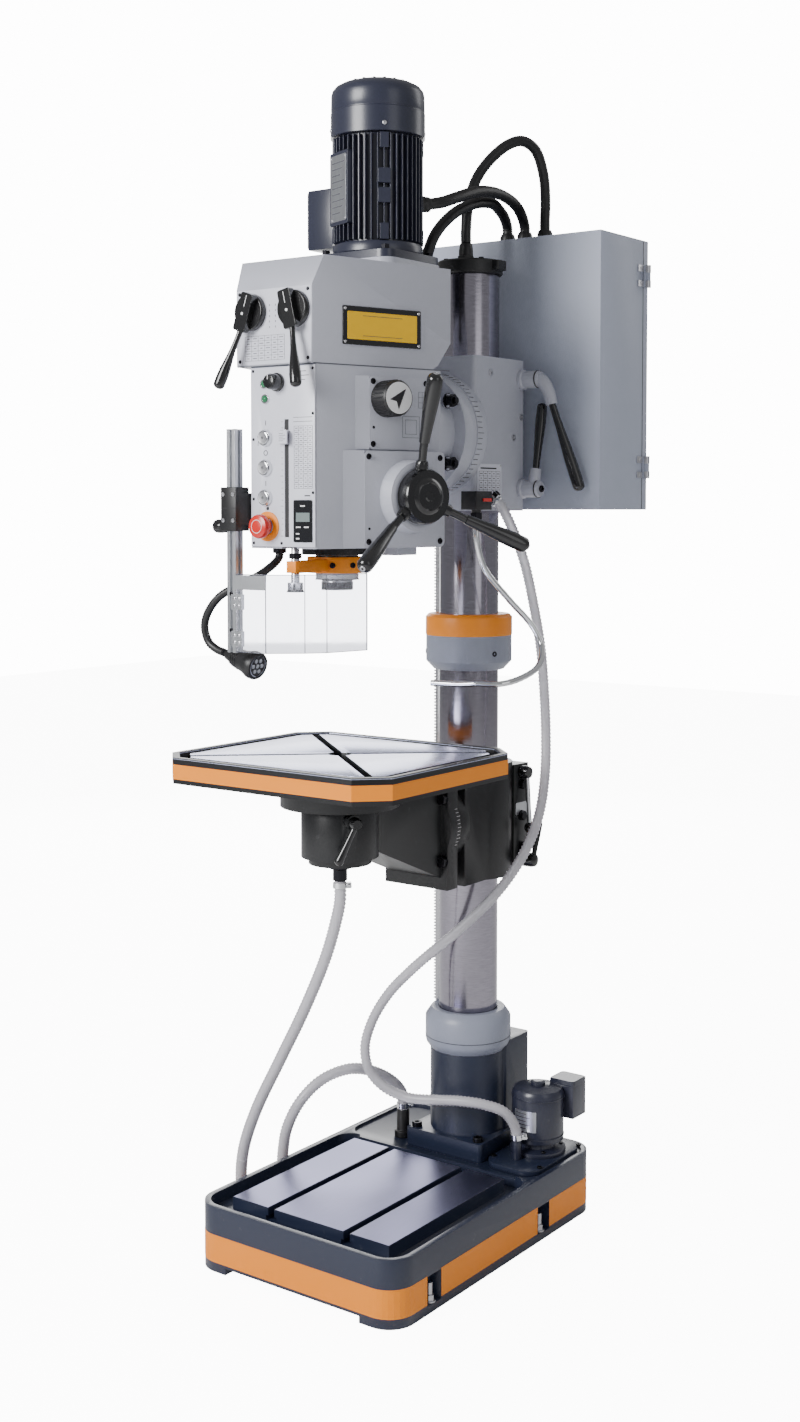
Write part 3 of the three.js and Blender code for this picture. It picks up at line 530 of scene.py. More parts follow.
floorLook, floorNodes, floorShader = shader("paleFloor", 0.0, Roughness=0.8,
                                            **{"Base Color": light["floor"]})
floorSeen = floorNodes.add("ShaderNodeLightPath").outputs["Is Camera Ray"]
floorShader.inputs["Emission Color"].default_value = (1, 1, 1, 1)
floorNodes.tree.links.new(floorNodes.math("MULTIPLY", floorSeen, 11),
                          floorShader.inputs["Emission Strength"])
floor = piece("floor", None, floorLook,
              ([(-9000, -9000, -0.6), (9000, -9000, -0.6), (9000, 9000, -0.6), (-9000, 9000, -0.6)],
               [(0, 1, 2, 3)]))
print("camera and light done")


# ---- hoses and conduits: routes in millimetres

supplyRoute = [
    (144, -46, 159.5), (143, -50, 184), (132, -72, 218), (104, -98, 234), (62, -118, 238), (8, -128, 232),
    (-46, -142, 230), (-92, -156, 246), (-120, -165, 276), (-130, -165, 318), (-118, -158, 370),
    (-88, -145, 426),
    (-43, -132, 477), (0, -120, 518), (42, -107, 556), (76, -92, 592), (108, -74, 630), (136, -52, 676),
    (160, -34, 730), (176, -20, 792), (180, -8, 862), (174, 4, 940), (166, 10, 1020), (158, 10, 1100),
    (146, 4, 1180), (134, -10, 1260), (122, -32, 1322), (110, -58, 1370), (105, -72, 1379.6),
    (105, -86.6, 1380),
]
drainRoute = [
    (0, -407, 704.5), (0, -407, 670), (-12, -407, 622), (-34, -407, 560), (-85, -405, 457),
    (-145, -402, 353),
    (-205, -400, 247), (-244, -392, 161), (-268, -372, 86), (-288, -336, 36), (-296, -292, 17),
    (-290, -256, 22),
    (-272, -250, 60), (-256, -264, 112), (-240, -270, 166), (-216, -258, 220), (-190, -224, 258),
    (-160, -174, 272),
    (-138, -122, 256), (-122, -80, 226), (-118, -57, 196), (-118, -56, 182), (-118, -56, 168.8),
]
columnConduitRoute = [
    (-6, -4, 1875), (-6, -4, 1900), (-6, 4, 1950), (0, 22, 2000), (15, 46, 2039), (36, 78, 2071),
    (50, 108, 2082),
    (60, 140, 2070), (62, 168, 2028), (59, 182, 1978), (58, 182, 1940), (58, 182, 1916),
]
motorConduitRoute = [
    (47.4, -226.4, 1912), (54, -217, 1913), (66, -194, 1918), (70, -140, 1936), (64, -80, 1954),
    (55, -20, 1965),
    (40, 60, 1969), (26, 128, 1960), (13, 172, 1942), (11, 182, 1926), (11, 182, 1916.5),
]
controlConduitRoute = [
    (4, -199, 1752), (4, -186, 1753), (7, -172, 1774), (10, -160, 1824), (15, -138, 1872), (21, -90, 1915),
    (23, -24, 1944), (13, 54, 1958), (-8, 112, 1958), (-24, 162, 1946), (-30, 181, 1930), (-30, 182, 1917),
]
hoses = {"supplyRadius": 10.5, "drainRadius": 11.5, "conduitRadius": 10.8, "hosePitch": 7.2,
         "conduitPitch": 3.6}


def ribbedTube(name, look, route, radius, pitch, depth):
    spots, total = evenRoute(route, pitch / 2)
    radii = [radius if i % 2 else radius - depth for i in range(len(spots))]
    tube = piece(name, None, look, sweep(spots, radii, 14), angle=80)
    return tube, [tuple(p * mm) for p in spots], total * mm


def hose(name, look, route, radius, pitch, depth, stands, bodies, start, end, slotName, stiffness="medium"):
    tube, path, length = ribbedTube(name, look, route, radius, pitch, depth)
    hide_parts(stands)
    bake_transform(tube)
    return tube


hose("supplyHose", hoseClear, supplyRoute, hoses["supplyRadius"], hoses["hosePitch"], 1.7, "supply_hose",
     ("frame", "head_bracket"), (0.14, -0.05, 0.45), (0.12, -0.03, 1.32), "hose_plastic")
conduitLook = dict(radius=hoses["conduitRadius"], pitch=hoses["conduitPitch"], depth=0.9)
hose("columnConduit", satinBlack, columnConduitRoute, **conduitLook, stands="column_conduit",
     bodies=("frame", "head_bracket"), start=(-0.006, 0.0, 1.93), end=(0.06, 0.18, 1.98),
     slotName="conduit_black")
hose("motorConduit", satinBlack, motorConduitRoute, **conduitLook, stands="motor_conduit",
     bodies=("head", "head_bracket"), start=(0.066, -0.194, 1.918), end=(0.02, 0.15, 1.95),
     slotName="conduit_black")
hose("controlConduit", satinBlack, controlConduitRoute, **conduitLook, stands="control_conduit",
     bodies=("head", "head_bracket"), start=(0.006, -0.17, 1.78), end=(-0.02, 0.15, 1.95),
     slotName="conduit_black")

drainSpots = evenRoute(drainRoute, hoses["hosePitch"] / 2)[0]
drainCuts = [0, round(0.22 * len(drainSpots)), round(0.46 * len(drainSpots)), len(drainSpots) - 1]
drainBodies = [("table_arm", "table_bracket"), ("table_bracket", "rack"), ("rack", "frame")]
for part, (first, last, bodies) in enumerate(zip(drainCuts, drainCuts[1:], drainBodies)):
    spots = drainSpots[first:last + 1]
    radii = [hoses["drainRadius"] if (first + i) % 2 else hoses["drainRadius"] - 1.8
             for i in range(len(spots))]
    tube = piece(f"drainHose{part + 1}", None, hoseClear, sweep(spots, radii, 14), angle=80)
    length = sum((b - a).length for a, b in zip(spots, spots[1:])) * mm
    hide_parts("drain_hose")
    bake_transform(tube)
print("hoses done")


# ---- CAD nodes: each keeps its mesh and takes a finish and a fine edge

nodeLooks = {
    "base_casting": slatePaint, "tank_cover": slatePaint, "column_foot": slatePaint, "column": columnSteel,
    "foot_collar": footCollarPaint, "upper_collar": collarPaint, "column_cap": satinBlack,
    "coolant_pump": motorPaint,
    "return_fitting": satinBlack, "rack": toolSteel, "table_bracket": armPaint,
    "elevating_crank": blackOxide,
    "crank_grip": glossBlack, "table_arm": armPaint, "drain_fitting": blackOxide, "head_bracket": headPaint,
    "coolant_valve": satinBlack, "electrical_cabinet": cabinetPaint, "cabinet_door": cabinetPaint,
    "head_casting": headPaint, "gearbox_housing": headPaint, "control_panel": panelSheet,
    "feed_cover": headPaint,
    "selector_cover": headPaint, "motor_terminal_box": motorPaint, "feed_selector_knob": glossBlack,
    "capstan_hub": glossBlack, "quill": toolSteel, "quill_collar": orangePaint, "depth_rod": toolSteel,
    "spindle": toolSteel, "push_button_start": chromeMetal, "push_button_reverse": chromeMetal,
    "push_button_stop": chromeMetal, "mode_selector": satinBlack, "guard_clamp": satinBlack,
    "guard_post": aluminiumBar, "lamp_head": satinBlack, "work_table": armPaint,
}
edges = {"base_casting": 3.5, "work_table": 2.0, "table_arm": 3.0, "table_bracket": 3.0,
         "head_casting": 2.5,
         "gearbox_housing": 3.0, "head_bracket": 3.0, "column_foot": 3.0, "electrical_cabinet": 1.2,
         "cabinet_door": 1.5}
for node, look in nodeLooks.items():
    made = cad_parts[node]
    for slotIndex in range(max(1, len(made.material_slots))):
        if not made.material_slots:
            made.data.materials.append(look)
        made.material_slots[slotIndex].material = look
    weld = made.modifiers.new("weld", "WELD")
    weld.merge_threshold = 0.00002
    edge = made.modifiers.new("edge", "BEVEL")
    edge.width, edge.segments, edge.limit_method = edges.get(node, 0.8) * mm, 2, "ANGLE"
    edge.angle_limit = math.radians(35)
    edge.harden_normals = False
    split = made.modifiers.new("crease", "EDGE_SPLIT")
    split.split_angle = math.radians(38)
    made.data.polygons.foreach_set("use_smooth", [True] * len(made.data.polygons))
print("CAD nodes done")


# ---- base, foot and pump

base = {"halfWidth": 227, "front": -548.5, "rear": 112, "corner": 50, "stripeLow": 17.6, "stripeHigh": 67.7}


def outlineBand(outline, low, high, out, skip=None):
    points, faces = [], []
    count = len(outline)
    shifted = []
    for i in range(count):
        before, after = Vector(outline[i - 1]), Vector(outline[(i + 1) % count])
        way = (after - before).normalized()
        shifted.append(Vector(outline[i]) + Vector((way.y, -way.x)) * out)
    for i in range(count):
        a, b = shifted[i], shifted[(i + 1) % count]
        middle = (a + b) / 2
        if skip and skip(middle):
            continue
        start = len(points)
        inner = [Vector(outline[i]), Vector(outline[(i + 1) % count])]
        points += [(a.x, a.y, low), (b.x, b.y, low), (b.x, b.y, high), (a.x, a.y, high)]
        points += [(inner[0].x, inner[0].y, low), (inner[1].x, inner[1].y, low),
                   (inner[1].x, inner[1].y, high), (inner[0].x, inner[0].y, high)]
        faces += [tuple(start + k for k in face) for face in
                  ((0, 1, 2, 3), (1, 0, 4, 5), (3, 2, 6, 7), (2, 1, 5, 6), (0, 3, 7, 4), (5, 4, 7, 6))]
    return points, faces


def baseOutline():
    corners = roundedOutline(-base["halfWidth"], base["halfWidth"], base["front"], base["rear"],
                             base["corner"], 8)
    outline = []
    for a, b in zip(corners, corners[1:] + corners[:1]):
        outline.append(a)
        if abs(a[0] - b[0]) < 0.1 and abs(a[1] - b[1]) > 100:
            stops = [-459, -417, -105, -63]
            if b[1] < a[1]:
                stops.reverse()
            outline += [(a[0], y) for y in stops]
    return outline


def inNotch(p):
    return abs(p.x) > base["halfWidth"] - 2 and (abs(p.y + 438) < 20 or abs(p.y + 84) < 20)


piece("baseStripe", "frame", orangePaint,
      outlineBand(baseOutline(), base["stripeLow"], base["stripeHigh"], 0.35, inNotch), angle=50)

bedStrips = []
for x0, x1 in ((-176, -92.2), (-77.8, 77.8), (92.2, 176)):
    bedStrips.append(block(x0 + 1.2, x1 - 1.2, -497.3, -140.7, 120.4, 120.95))
piece("bedSurface", "frame", bedSteel, *bedStrips, slotName="ground_steel")

foundation = []
for hand in (-1, 1):
    for y in (-438, -84):
        x = hand * 216
        foundation += [disc(x, y, 14.5, 17, 11.5), hexagon(x, y, 17, 27, 16),
                       disc(x, y, 27, 48, 6, sides=20)]
piece("foundationBolts", "frame", screwSteel, *foundation, bevel=0.5)

plateScrews = [(x, y) for x in (100, 204) for y in (-60, 84)]
footBolts = [(x, y) for x in (-72, 72) for y in (-72, 72)]


def socketScrew(x, y, z, radius, height):
    return lathe([(0, z), (radius, z), (radius, z + height * 0.8), (radius * 0.86, z + height),
                  (radius * 0.52, z + height), (radius * 0.5, z + height * 0.35), (0, z + height * 0.35)],
                 24, x, y)


piece("footScrews", "frame", blackOxide, *[socketScrew(x, y, 147.8, 10, 9) for x, y in footBolts], angle=30)
piece("coverScrews", "frame", blackOxide, *[socketScrew(x, y, 122.4, 5, 3.5) for x, y in plateScrews],
      angle=30)
piece("footSeam", "frame", inkAndPaintedShade, ringOf(0, 0, 304.6, 306.4, 70, 73.6, 48))
piece("collarSeam", "frame", greyPrint, ringOf(0, 0, 329.5, 331, 80, 84.25, 64))

pump = {"x": 150, "y": 20}
px, py = pump["x"], pump["y"]
cooling = [ringOf(px, py, z, z + 2, 49, 51.2, 40) for z in (156, 230)]
piece("pumpRings", "frame", motorPaint, *cooling, bevel=0.4)
piece("pumpCapBoss", "frame", motorPaint,
      lathe([(0, 250), (14, 250), (14, 256), (10, 258), (0, 258)], 28, px, py), bevel=0.4)
pumpPlate = [((px + 50.3 * math.cos(t), py + 50.3 * math.sin(t))) for t in
             [math.radians(-118 + 8 * i) for i in range(8)]]
plateOuter = [(px + (x - px) * 1.012, py + (y - py) * 1.012) for x, y in pumpPlate]
piece("pumpPlate", "frame", aluminiumBar, prism(pumpPlate[::-1] + plateOuter, 172, 212), angle=50)
plateLines = []
for row in range(5):
    z = 178 + row * 7
    arc = [math.radians(-112 + 3 * i) for i in range(13 if row % 2 else 10)]
    inner = [(px + 50.6 * math.cos(t), py + 50.6 * math.sin(t)) for t in arc]
    outer = [(px + 51.1 * math.cos(t), py + 51.1 * math.sin(t)) for t in arc]
    plateLines.append(prism(inner[::-1] + outer, z, z + 1.2))
piece("pumpPlateLines", "frame", greyPrint, *plateLines, angle=50)
piece("pumpBoxLid", "frame", motorPaint, roundedBlock(px + 9, px + 63, py + 27, py + 77, 249, 259, 8),
      bevel=1)
piece("pumpFlangeScrews", "frame", blackOxide,
      *[socketScrew(px + 46 * math.cos(a), py + 46 * math.sin(a), 130.6, 4, 4)
        for a in [math.radians(45 + 90 * k) for k in range(4)]], angle=30)


def hoseClamp(name, body, place, way, radius, look=chromeMetal):
    way = Vector(way).normalized()
    spot = seat(place, way.orthogonal(), way.cross(way.orthogonal()))
    band = moved(spot, lathe([(radius, -5), (radius + 1, -5), (radius + 1, 5), (radius, 5), (radius, -5)],
                             32))
    housing = moved(spot, block(radius - 1, radius + 8, -6, 6, -5, 5))
    screw = moved(spot @ Matrix.Translation((radius + 5, 0, 0)) @ Matrix.Rotation(math.pi / 2, 4, "X"),
                  disc(0, 0, -12, 12, 2.8, sides=12))
    return piece(name, body, look, band, housing, screw, bevel=0.3)


hoseClamp("pumpHoseClamp", "frame", (143.7, -47, 166), (0, 0, 1), 11)
hoseClamp("returnHoseClamp", "frame", (-118, -56, 176), (0, 0, 1), 12)
hoseClamp("tableHoseClamp", "table_arm", (0, -407, 697), (0, 0, 1), 12)
hoseClamp("valveHoseClamp", "head_bracket", (105, -80, 1379.8), (0, 1, 0), 11)
print("base done")


# ---- rack, table bracket and table

def rackTeeth(low, high, pitch=6.3):
    count = int((high - low) / pitch)
    return [prism([(-77, -9), (-77, 9), (-71.6, 9), (-71.6, -9)][::-1], low + i * pitch,
                  low + i * pitch + 3.1)
            for i in range(count)]


piece("rackTeethLower", "rack", toolSteel, *rackTeeth(388, 1050), bevel=0.4, slotName="ground_steel")
piece("rackUpper", "frame", toolSteel, block(-72, -58, -11, 11, 1161.3, 1359), *rackTeeth(1164, 1356),
      bevel=0.4)

table = {"halfWidth": 242.5, "halfDepth": 218, "chamfer": 47, "y": -407, "bandLow": 896, "bandHigh": 921.8}
w, d, c = table["halfWidth"], table["halfDepth"], table["chamfer"]
tableOutline = [(w, c - d), (w, d - c), (w - c, d), (c - w, d), (-w, d - c), (-w, c - d), (c - w, -d),
                (w - c, -d)]
tableOutline = [(x, y + table["y"]) for x, y in tableOutline]
piece("tableStripe", "work_table", orangePaint,
      outlineBand(tableOutline, table["bandLow"], table["bandHigh"], 0.35), angle=30)


def masked(name, low, high, base, surface, lay):
    look, nodes, principled = shader(name)
    coat = placeGroup(nodes, enamelGroup, {"Color": base, "Scuff Color": paint["bare"], "Scuffs": 0.1,
                                           "Roughness": 0.4})
    steel = placeGroup(nodes, grindingGroup, {"Color": surface, "Lay": lay, "Contrast": 0.25,
                                              "Roughness": 0.27})
    mask = placeGroup(nodes, heightBandGroup, {"Low": low * mm, "High": high * mm})["Mask"]
    nodes.tree.links.new(nodes.blend(mask, coat["Color"], steel["Color"]), principled.inputs["Base Color"])
    nodes.tree.links.new(nodes.math("MULTIPLY", mask, 0.7), principled.inputs["Metallic"])
    rough = nodes.math("ADD", nodes.math("MULTIPLY", mask, steel["Roughness"]),
                       nodes.math("MULTIPLY", nodes.math("SUBTRACT", 1.0, mask), coat["Roughness"]))
    nodes.tree.links.new(rough, principled.inputs["Roughness"])
    addBump(nodes, principled, steel["Height"], 0.08, 0.0002)
    return look


tableTop = masked("tableTopGround", 931, 932.2, paint["nearBlack"], tone(208, 213, 240), (26, 1500, 60))
for slotIndex in range(len(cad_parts["work_table"].material_slots)):
    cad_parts["work_table"].material_slots[slotIndex].material = tableTop


def hexBolt(u, v, w0, across, height):
    return hexagon(u, v, w0, w0 + height, across, 0.3), disc(u, v, w0 - 0.5, w0 + 1.2, across * 0.62,
                                                             sides=24)


armFace = seat((0, -176, 0), right, up)
armBolts = [shape for u in (-62, 62) for v in (708, 826) for shape in hexBolt(u, v, 0, 19, 11)]
piece("armBolts", "table_arm", blackOxide, *[moved(armFace, s) for s in armBolts], bevel=0.6)
tiltScale = [moved(seat((0, -150, 770), right, up) @ Matrix.Rotation(math.radians(a), 4, "Z"),
                   block(79.7, 80.5, -0.35, 0.35, -4 if a % 15 else -7, 4)) for a in range(-60, 65, 5)]
piece("tableTiltScale", "table_arm", whitePrint, *tiltScale)

clampBolts = [moved(seat((80, 66, 0), (0, 1, 0), up), s) for v in (700, 762, 824)
              for s in hexBolt(0, v, 0, 17, 9)]
piece("bracketClampBolts", "table_bracket", blackOxide, *clampBolts, bevel=0.5)
piece("bracketWormCover", "table_bracket", armPaint,
      moved(seat((-132, 3, 750), (0, -1, 0), up), roundedBlock(-34, 34, -46, 46, 0, 3, 8)),
      *[moved(seat((-135, 3, 750), (0, -1, 0), up), socketScrew(u, v, -0.2, 4, 3)) for u in (-27, 27)
        for v in (-39, 39)],
      bevel=0.5)
plateSeat = seat((80.1, 66, 770), (0, 1, 0), up)
piece("bracketScalePlate", "table_bracket", aluminiumBar,
      moved(plateSeat, roundedBlock(-20, 22, -6, 18, 0, 0.9, 3)), bevel=0.2)


def shapedHandle(start, end, radii, count=14):
    start, end = Vector(start), Vector(end)
    spots = [start.lerp(end, i / (count - 1)) for i in range(count)]
    tip = (end - start).normalized()
    sizes = []
    for i in range(count):
        t = i / (count - 1) * (len(radii) - 1)
        k = min(int(t), len(radii) - 2)
        sizes.append(radii[k] + (radii[k + 1] - radii[k]) * (t - k))
    last = sizes[-1]
    for step in (0.35, 0.65, 0.87, 0.98):
        spots.append(end + tip * last * step * 0.75)
        sizes.append(last * math.sqrt(1 - step ** 2))
    return sweep(spots, sizes, 24)


def swapNode(node):
    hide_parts(node)


hub = moved(seat((80.3, 66, 848), (0, 1, 0), up), lathe([(0, 0), (13, 0), (13, 14), (11, 20), (0, 20)], 28))
piece("bracketLeverHubUpper", "bracket_lever_upper", glossBlack, hub, bevel=0.5)
made = piece("bracketLeverUpper", "bracket_lever_upper", chromeMetal,
             shapedHandle((93, 66, 848), (107.4, 54.5, 746), [5, 5, 4.6, 5]), slotName="chrome")
swapNode("bracket_clamp_lever_upper")
ballAt = Vector((108, 54, 742))
ballProfile = [(max(0, 11 * math.cos(math.radians(a))), 11 * math.sin(math.radians(a)))
               for a in range(-90, 91, 15)]
piece("bracketLeverBall", "bracket_lever_upper", glossBlack,
      moved(Matrix.Translation(ballAt), lathe(ballProfile, 28)))
lowerHub = moved(seat((80.3, 66, 676), (0, 1, 0), up),
                 lathe([(0, 0), (14, 0), (14, 26), (12, 33), (7, 36), (0, 36)], 28))
made = piece("bracketLeverLower", "bracket_lever_lower", glossBlack, lowerHub,
             shapedHandle((108, 66, 676), (112, 83, 745), [5, 5.2, 6, 6.5]))
swapNode("bracket_clamp_lever_lower")
made = piece("tableLockLever", "table_lock_lever", glossBlack,
             moved(seat((74.3, -461.2, 824), Vector((0.585, 0.811, 0)), up),
                   lathe([(0, 0), (11, 0), (11, 14), (8, 19), (0, 19)], 24)),
             shapedHandle((84, -468, 824), (63, -490, 760), [5.5, 5.5, 6.5, 8.5]), bevel=0.3)
swapNode("table_lock_lever")
gripGrooves = [moved(seat((-200 - 18 * k, -112, 750), (0, -1, 0), up), ringOf(0, 0, -1, 1, 12.8, 15, 28))
               for k in range(3)]
piece("gripRings", "crank_grip", satinBlack, *gripGrooves)
piece("collarScrews", "frame", blackOxide,
      *[moved(seat((84 * math.cos(a), 84 * math.sin(a), 1086), (-math.sin(a), math.cos(a), 0), up),
              socketScrew(0, 0, -2, 5, 2.6))
        for a in [math.radians(t) for t in (-150, -20, 100)]], angle=30)
print("table done")


# ---- head bracket, levers, cabinet

bracketSide = seat((88, 0, 0), (0, 1, 0), up)
ringTicks = []
for a in range(-85, 86, 5):
    spot = seat((0, -130, 1503), right, up) @ Matrix.Rotation(math.radians(a), 4, "Z")
    ringTicks.append(moved(spot, block(114.8, 115.5, -0.4, 0.4, -8 if a % 15 == 0 else -3, 11)))
piece("headTiltScale", "head_bracket", inkAndPaintedShade, *ringTicks)
piece("tiltPointer", "head_bracket", glossBlack, moved(bracketSide, disc(-103, 1560, -0.5, 3.5, 5)),
      bevel=0.4)


def printedTable(spot, u0, u1, v0, v1, rows, columns, seed=3):
    shapes = []
    for r in range(rows + 1):
        v = v0 + (v1 - v0) * r / rows
        shapes.append(block(u0, u1, v - 0.25, v + 0.25, 0, 0.25))
    for k in range(columns + 1):
        u = u0 + (u1 - u0) * k / columns
        shapes.append(block(u - 0.25, u + 0.25, v0, v1, 0, 0.25))
    for r in range(rows):
        for k in range(columns):
            middle = u0 + (u1 - u0) * (k + 0.5) / columns
            half = (u1 - u0) / columns * (0.16 + 0.05 * ((r * 7 + k * seed) % 4))
            v = v0 + (v1 - v0) * (r + 0.5) / rows
            shapes.append(block(middle - half, middle + half, v - 0.6, v + 0.6, 0, 0.25))
    return [moved(spot, s) for s in shapes]


piece("speedTablePlate", "head_bracket", panelSheet,
      moved(bracketSide, roundedBlock(-104, -22, 1376, 1448, 0, 0.8, 3)),
      bevel=0.2, slotName="panel_white")
piece("speedTableLines", "head_bracket", inkAndPaintedShade,
      *printedTable(bracketSide @ Matrix.Translation((0, 0, 0.8)), -99, -27, 1382, 1434, 6, 5),
      moved(bracketSide @ Matrix.Translation((0, 0, 0.8)), block(-94, -40, 1438.5, 1441, 0, 0.25)))
piece("speedTableScrews", "head_bracket", screwSteel,
      *[moved(bracketSide, dome(u, v, 0.8, 2.2, 1)) for u in (-100.5, -25.5) for v in (1379.5, 1444.5)])

upperSpot = seat((88.3, 50, 1612), (0, 1, 0), up)
lowerSpot = seat((88.3, 50, 1402), (0, 1, 0), up)
bossProfile = [(0, 0), (19, 0), (19, 6), (16.5, 9), (16.5, 38), (14, 43.5), (0, 43.5)]
made = piece("headLeverUpper", "head_lever_upper", headPaint, moved(upperSpot, lathe(bossProfile, 36)),
             sweep(smoothRoute([(124, 50, 1612), (134, 51, 1607), (145, 54, 1590), (152.5, 56, 1563)], 12),
                   [12, 13, 13.4, 13.4, 13.2, 13, 12.8, 12.4, 12, 11.8, 11.6, 11.4, 11], 24))
swapNode("head_clamp_lever_upper")
piece("headLeverUpperHandle", "head_lever_upper", glossBlack,
      shapedHandle((151, 55.5, 1570), (205, 69.6, 1406), [6.5, 7, 8.5, 10.5, 11.8, 11.4]),
      slotName="black_plastic")
made = piece("headLeverLower", "head_lever_lower", headPaint, moved(lowerSpot, lathe(bossProfile, 36)),
             sweep([(116, 50, 1402), (116.5, 52, 1420), (118, 54.5, 1441)], [13, 12, 10], 24))
swapNode("head_clamp_lever_lower")
piece("headLeverLowerHandle", "head_lever_lower", glossBlack,
      shapedHandle((118, 54, 1438), (123.8, 67.4, 1560), [6.5, 7, 8, 9.6, 10.2, 9.8]),
      slotName="black_plastic")
for label, spot, body in (("Upper", upperSpot, "head_lever_upper"),
                          ("Lower", lowerSpot, "head_lever_lower")):
    piece(f"headLever{label}Ring", body, satinBlack, moved(spot, ringOf(0, 0, 36, 38.5, 10, 17.3)),
          bevel=0.4)
    piece(f"headLever{label}Screw", body, blackOxide, moved(spot, socketScrew(0, 0, 43, 6.5, 5)), angle=30)
piece("bracketPlug", "head_bracket", screwSteel,
      *[moved(bracketSide, socketScrew(u, v, -0.3, 6, 2.4)) for u,
        v in ((20, 1500), (-60, 1620), (48, 1540))], angle=30)
nozzle = [
    (105, -132, 1341.6), (105, -131, 1310), (112, -116, 1255), (138, -72, 1195), (168, -38, 1145),
    (186, -32, 1106),
    (196, -60, 1072), (184, -106, 1051), (164, -142, 1043), (130, -158, 1043), (88, -170, 1041),
    (38, -181, 1041),
]
nozzleLine = smoothRoute(nozzle, 90)
made = piece("coolantNozzle", "coolant_nozzle", chromeMetal,
             sweep(nozzleLine, [6 if i % 2 and i < 62 else 5.6 for i in range(len(nozzleLine))], 18),
             angle=70)
swapNode("coolant_nozzle")
piece("valveNut", "head_bracket", blackOxide,
      moved(seat((105, -132, 1352), right, (0, 1, 0)), hexagon(0, 0, -8, 4, 21)),
      moved(seat((105, -99, 1380), right, up), hexagon(0, 0, -4, 4, 21)), bevel=0.5)
piece("valveLever", "head_bracket", redCap, moved(seat((122, -132, 1380), (0, 1, 0), up),
                                                  block(-5, 22, -3, 3, 0.2, 3)),
      bevel=0.6)

cabinet = {"half": 238, "door": 278, "low": 1362, "high": 1891}
ch, cl, cu = cabinet["half"], cabinet["low"], cabinet["high"]
seamShapes = [block(ch - 0.6, ch + 0.25, 257.2, 259.3, cl + 2, cu - 2),
              block(-ch - 0.25, -ch + 0.6, 257.2, 259.3, cl + 2, cu - 2),
              block(-ch + 2, ch - 2, 257.2, 259.3, cu - 0.6, cu + 0.2),
              block(-ch + 2, ch - 2, 257.2, 259.3, cl - 0.2, cl + 0.6)]
piece("cabinetSeam", "head_bracket", inkAndPaintedShade, *seamShapes)
knuckles = []
for z in (1425, 1800):
    knuckles += [lathe([(0, z - 1), (6.6, z - 1), (6.6, z + 12.6), (0, z + 12.6)], 20, ch + 6, 266),
                 lathe([(0, z + 28), (6.6, z + 28), (6.6, z + 43), (0, z + 43)], 20, ch + 6, 266),
                 block(ch - 0.5, ch + 2, 236, 262, z, z + 12),
                 block(ch - 0.5, ch + 2, 236, 262, z + 29, z + 42)]
    knuckles += [moved(seat((ch + 2, 246, z + h), (0, 1, 0), up), dome(0, 0, 0, 3, 1.4)) for h in (6, 35.5)]
piece("cabinetHinges", "head_bracket", screwSteel, *knuckles, bevel=0.3)
for index, x in enumerate((-30, 11, 58)):
    piece(f"cabinetGland{index + 1}", "head_bracket", satinBlack, hexagon(x, 182, cu, cu + 8, 33),
          lathe([(10, cu + 8), (15.4, cu + 8), (15.4, cu + 20), (12.6, cu + 27), (10, cu + 27),
                 (10, cu + 8)], 30, x, 182),
          bevel=0.6)
rearSeat = seat((0, cabinet["door"], 0), (-1, 0, 0), up)
piece("doorLock", "cabinet_door", blackOxide, moved(rearSeat, disc(205, 1626, 0, 5, 12)),
      moved(rearSeat, block(202.5, 207.5, 1618, 1634, 5, 7.5)), bevel=0.6)
piece("doorFold", "cabinet_door", cabinetPaint,
      moved(rearSeat, roundedBlock(-224, 224, 1378, 1875, 0, 1.6, 6)), bevel=1.2)
piece("capBolts", "frame", blackOxide, *[socketScrew(50 * math.cos(a), 50 * math.sin(a), 1838.6, 5, 4)
                                         for a in [math.radians(60 + 90 * k) for k in range(4)]], angle=30)
piece("capGland", "frame", satinBlack, hexagon(-6, -4, 1839, 1850, 30), bevel=0.6)
print("head bracket and cabinet done")


# ---- head: plates, panel, levers, capstan

sideSeat = seat((82, -582, 0), (0.2943, 0.9557, 0), up)
panelSeat = seat((0, -577.9, 0), right, up)
leverSeat = seat((0, -582, 0), right, up)

piece("leverPlate", "head", panelSheet, moved(leverSeat,
                                              roundedBlock(-80.5, 80.5, 1604.5, 1729, 0, 0.8, 3)),
      bevel=0.25,
      slotName="panel_white")
plateInk = leverSeat @ Matrix.Translation((0, 0, 0.8))
piece("leverPlateLines", "head", greyPrint, *printedTable(plateInk, -62, 24, 1611, 1652, 5, 6),
      *[moved(plateInk, block(u, u + 1.4, 1664 + 9 * k, 1667 + 9 * k, 0, 0.25)) for u in (-9, 4)
        for k in range(5)])
piece("leverPlateScrews", "head", blackOxide,
      *[moved(leverSeat, dome(u, v, 0.8, 3.2, 1.8)) for u in (-74, 74) for v in (1611, 1723)])


def ovalScrew(u, v, w0):
    return [moved(sideSeat, disc(u, v, w0, w0 + 0.5, 5.2, sides=24)),
            moved(sideSeat, socketScrew(u, v, w0, 4.2, 2.6))]


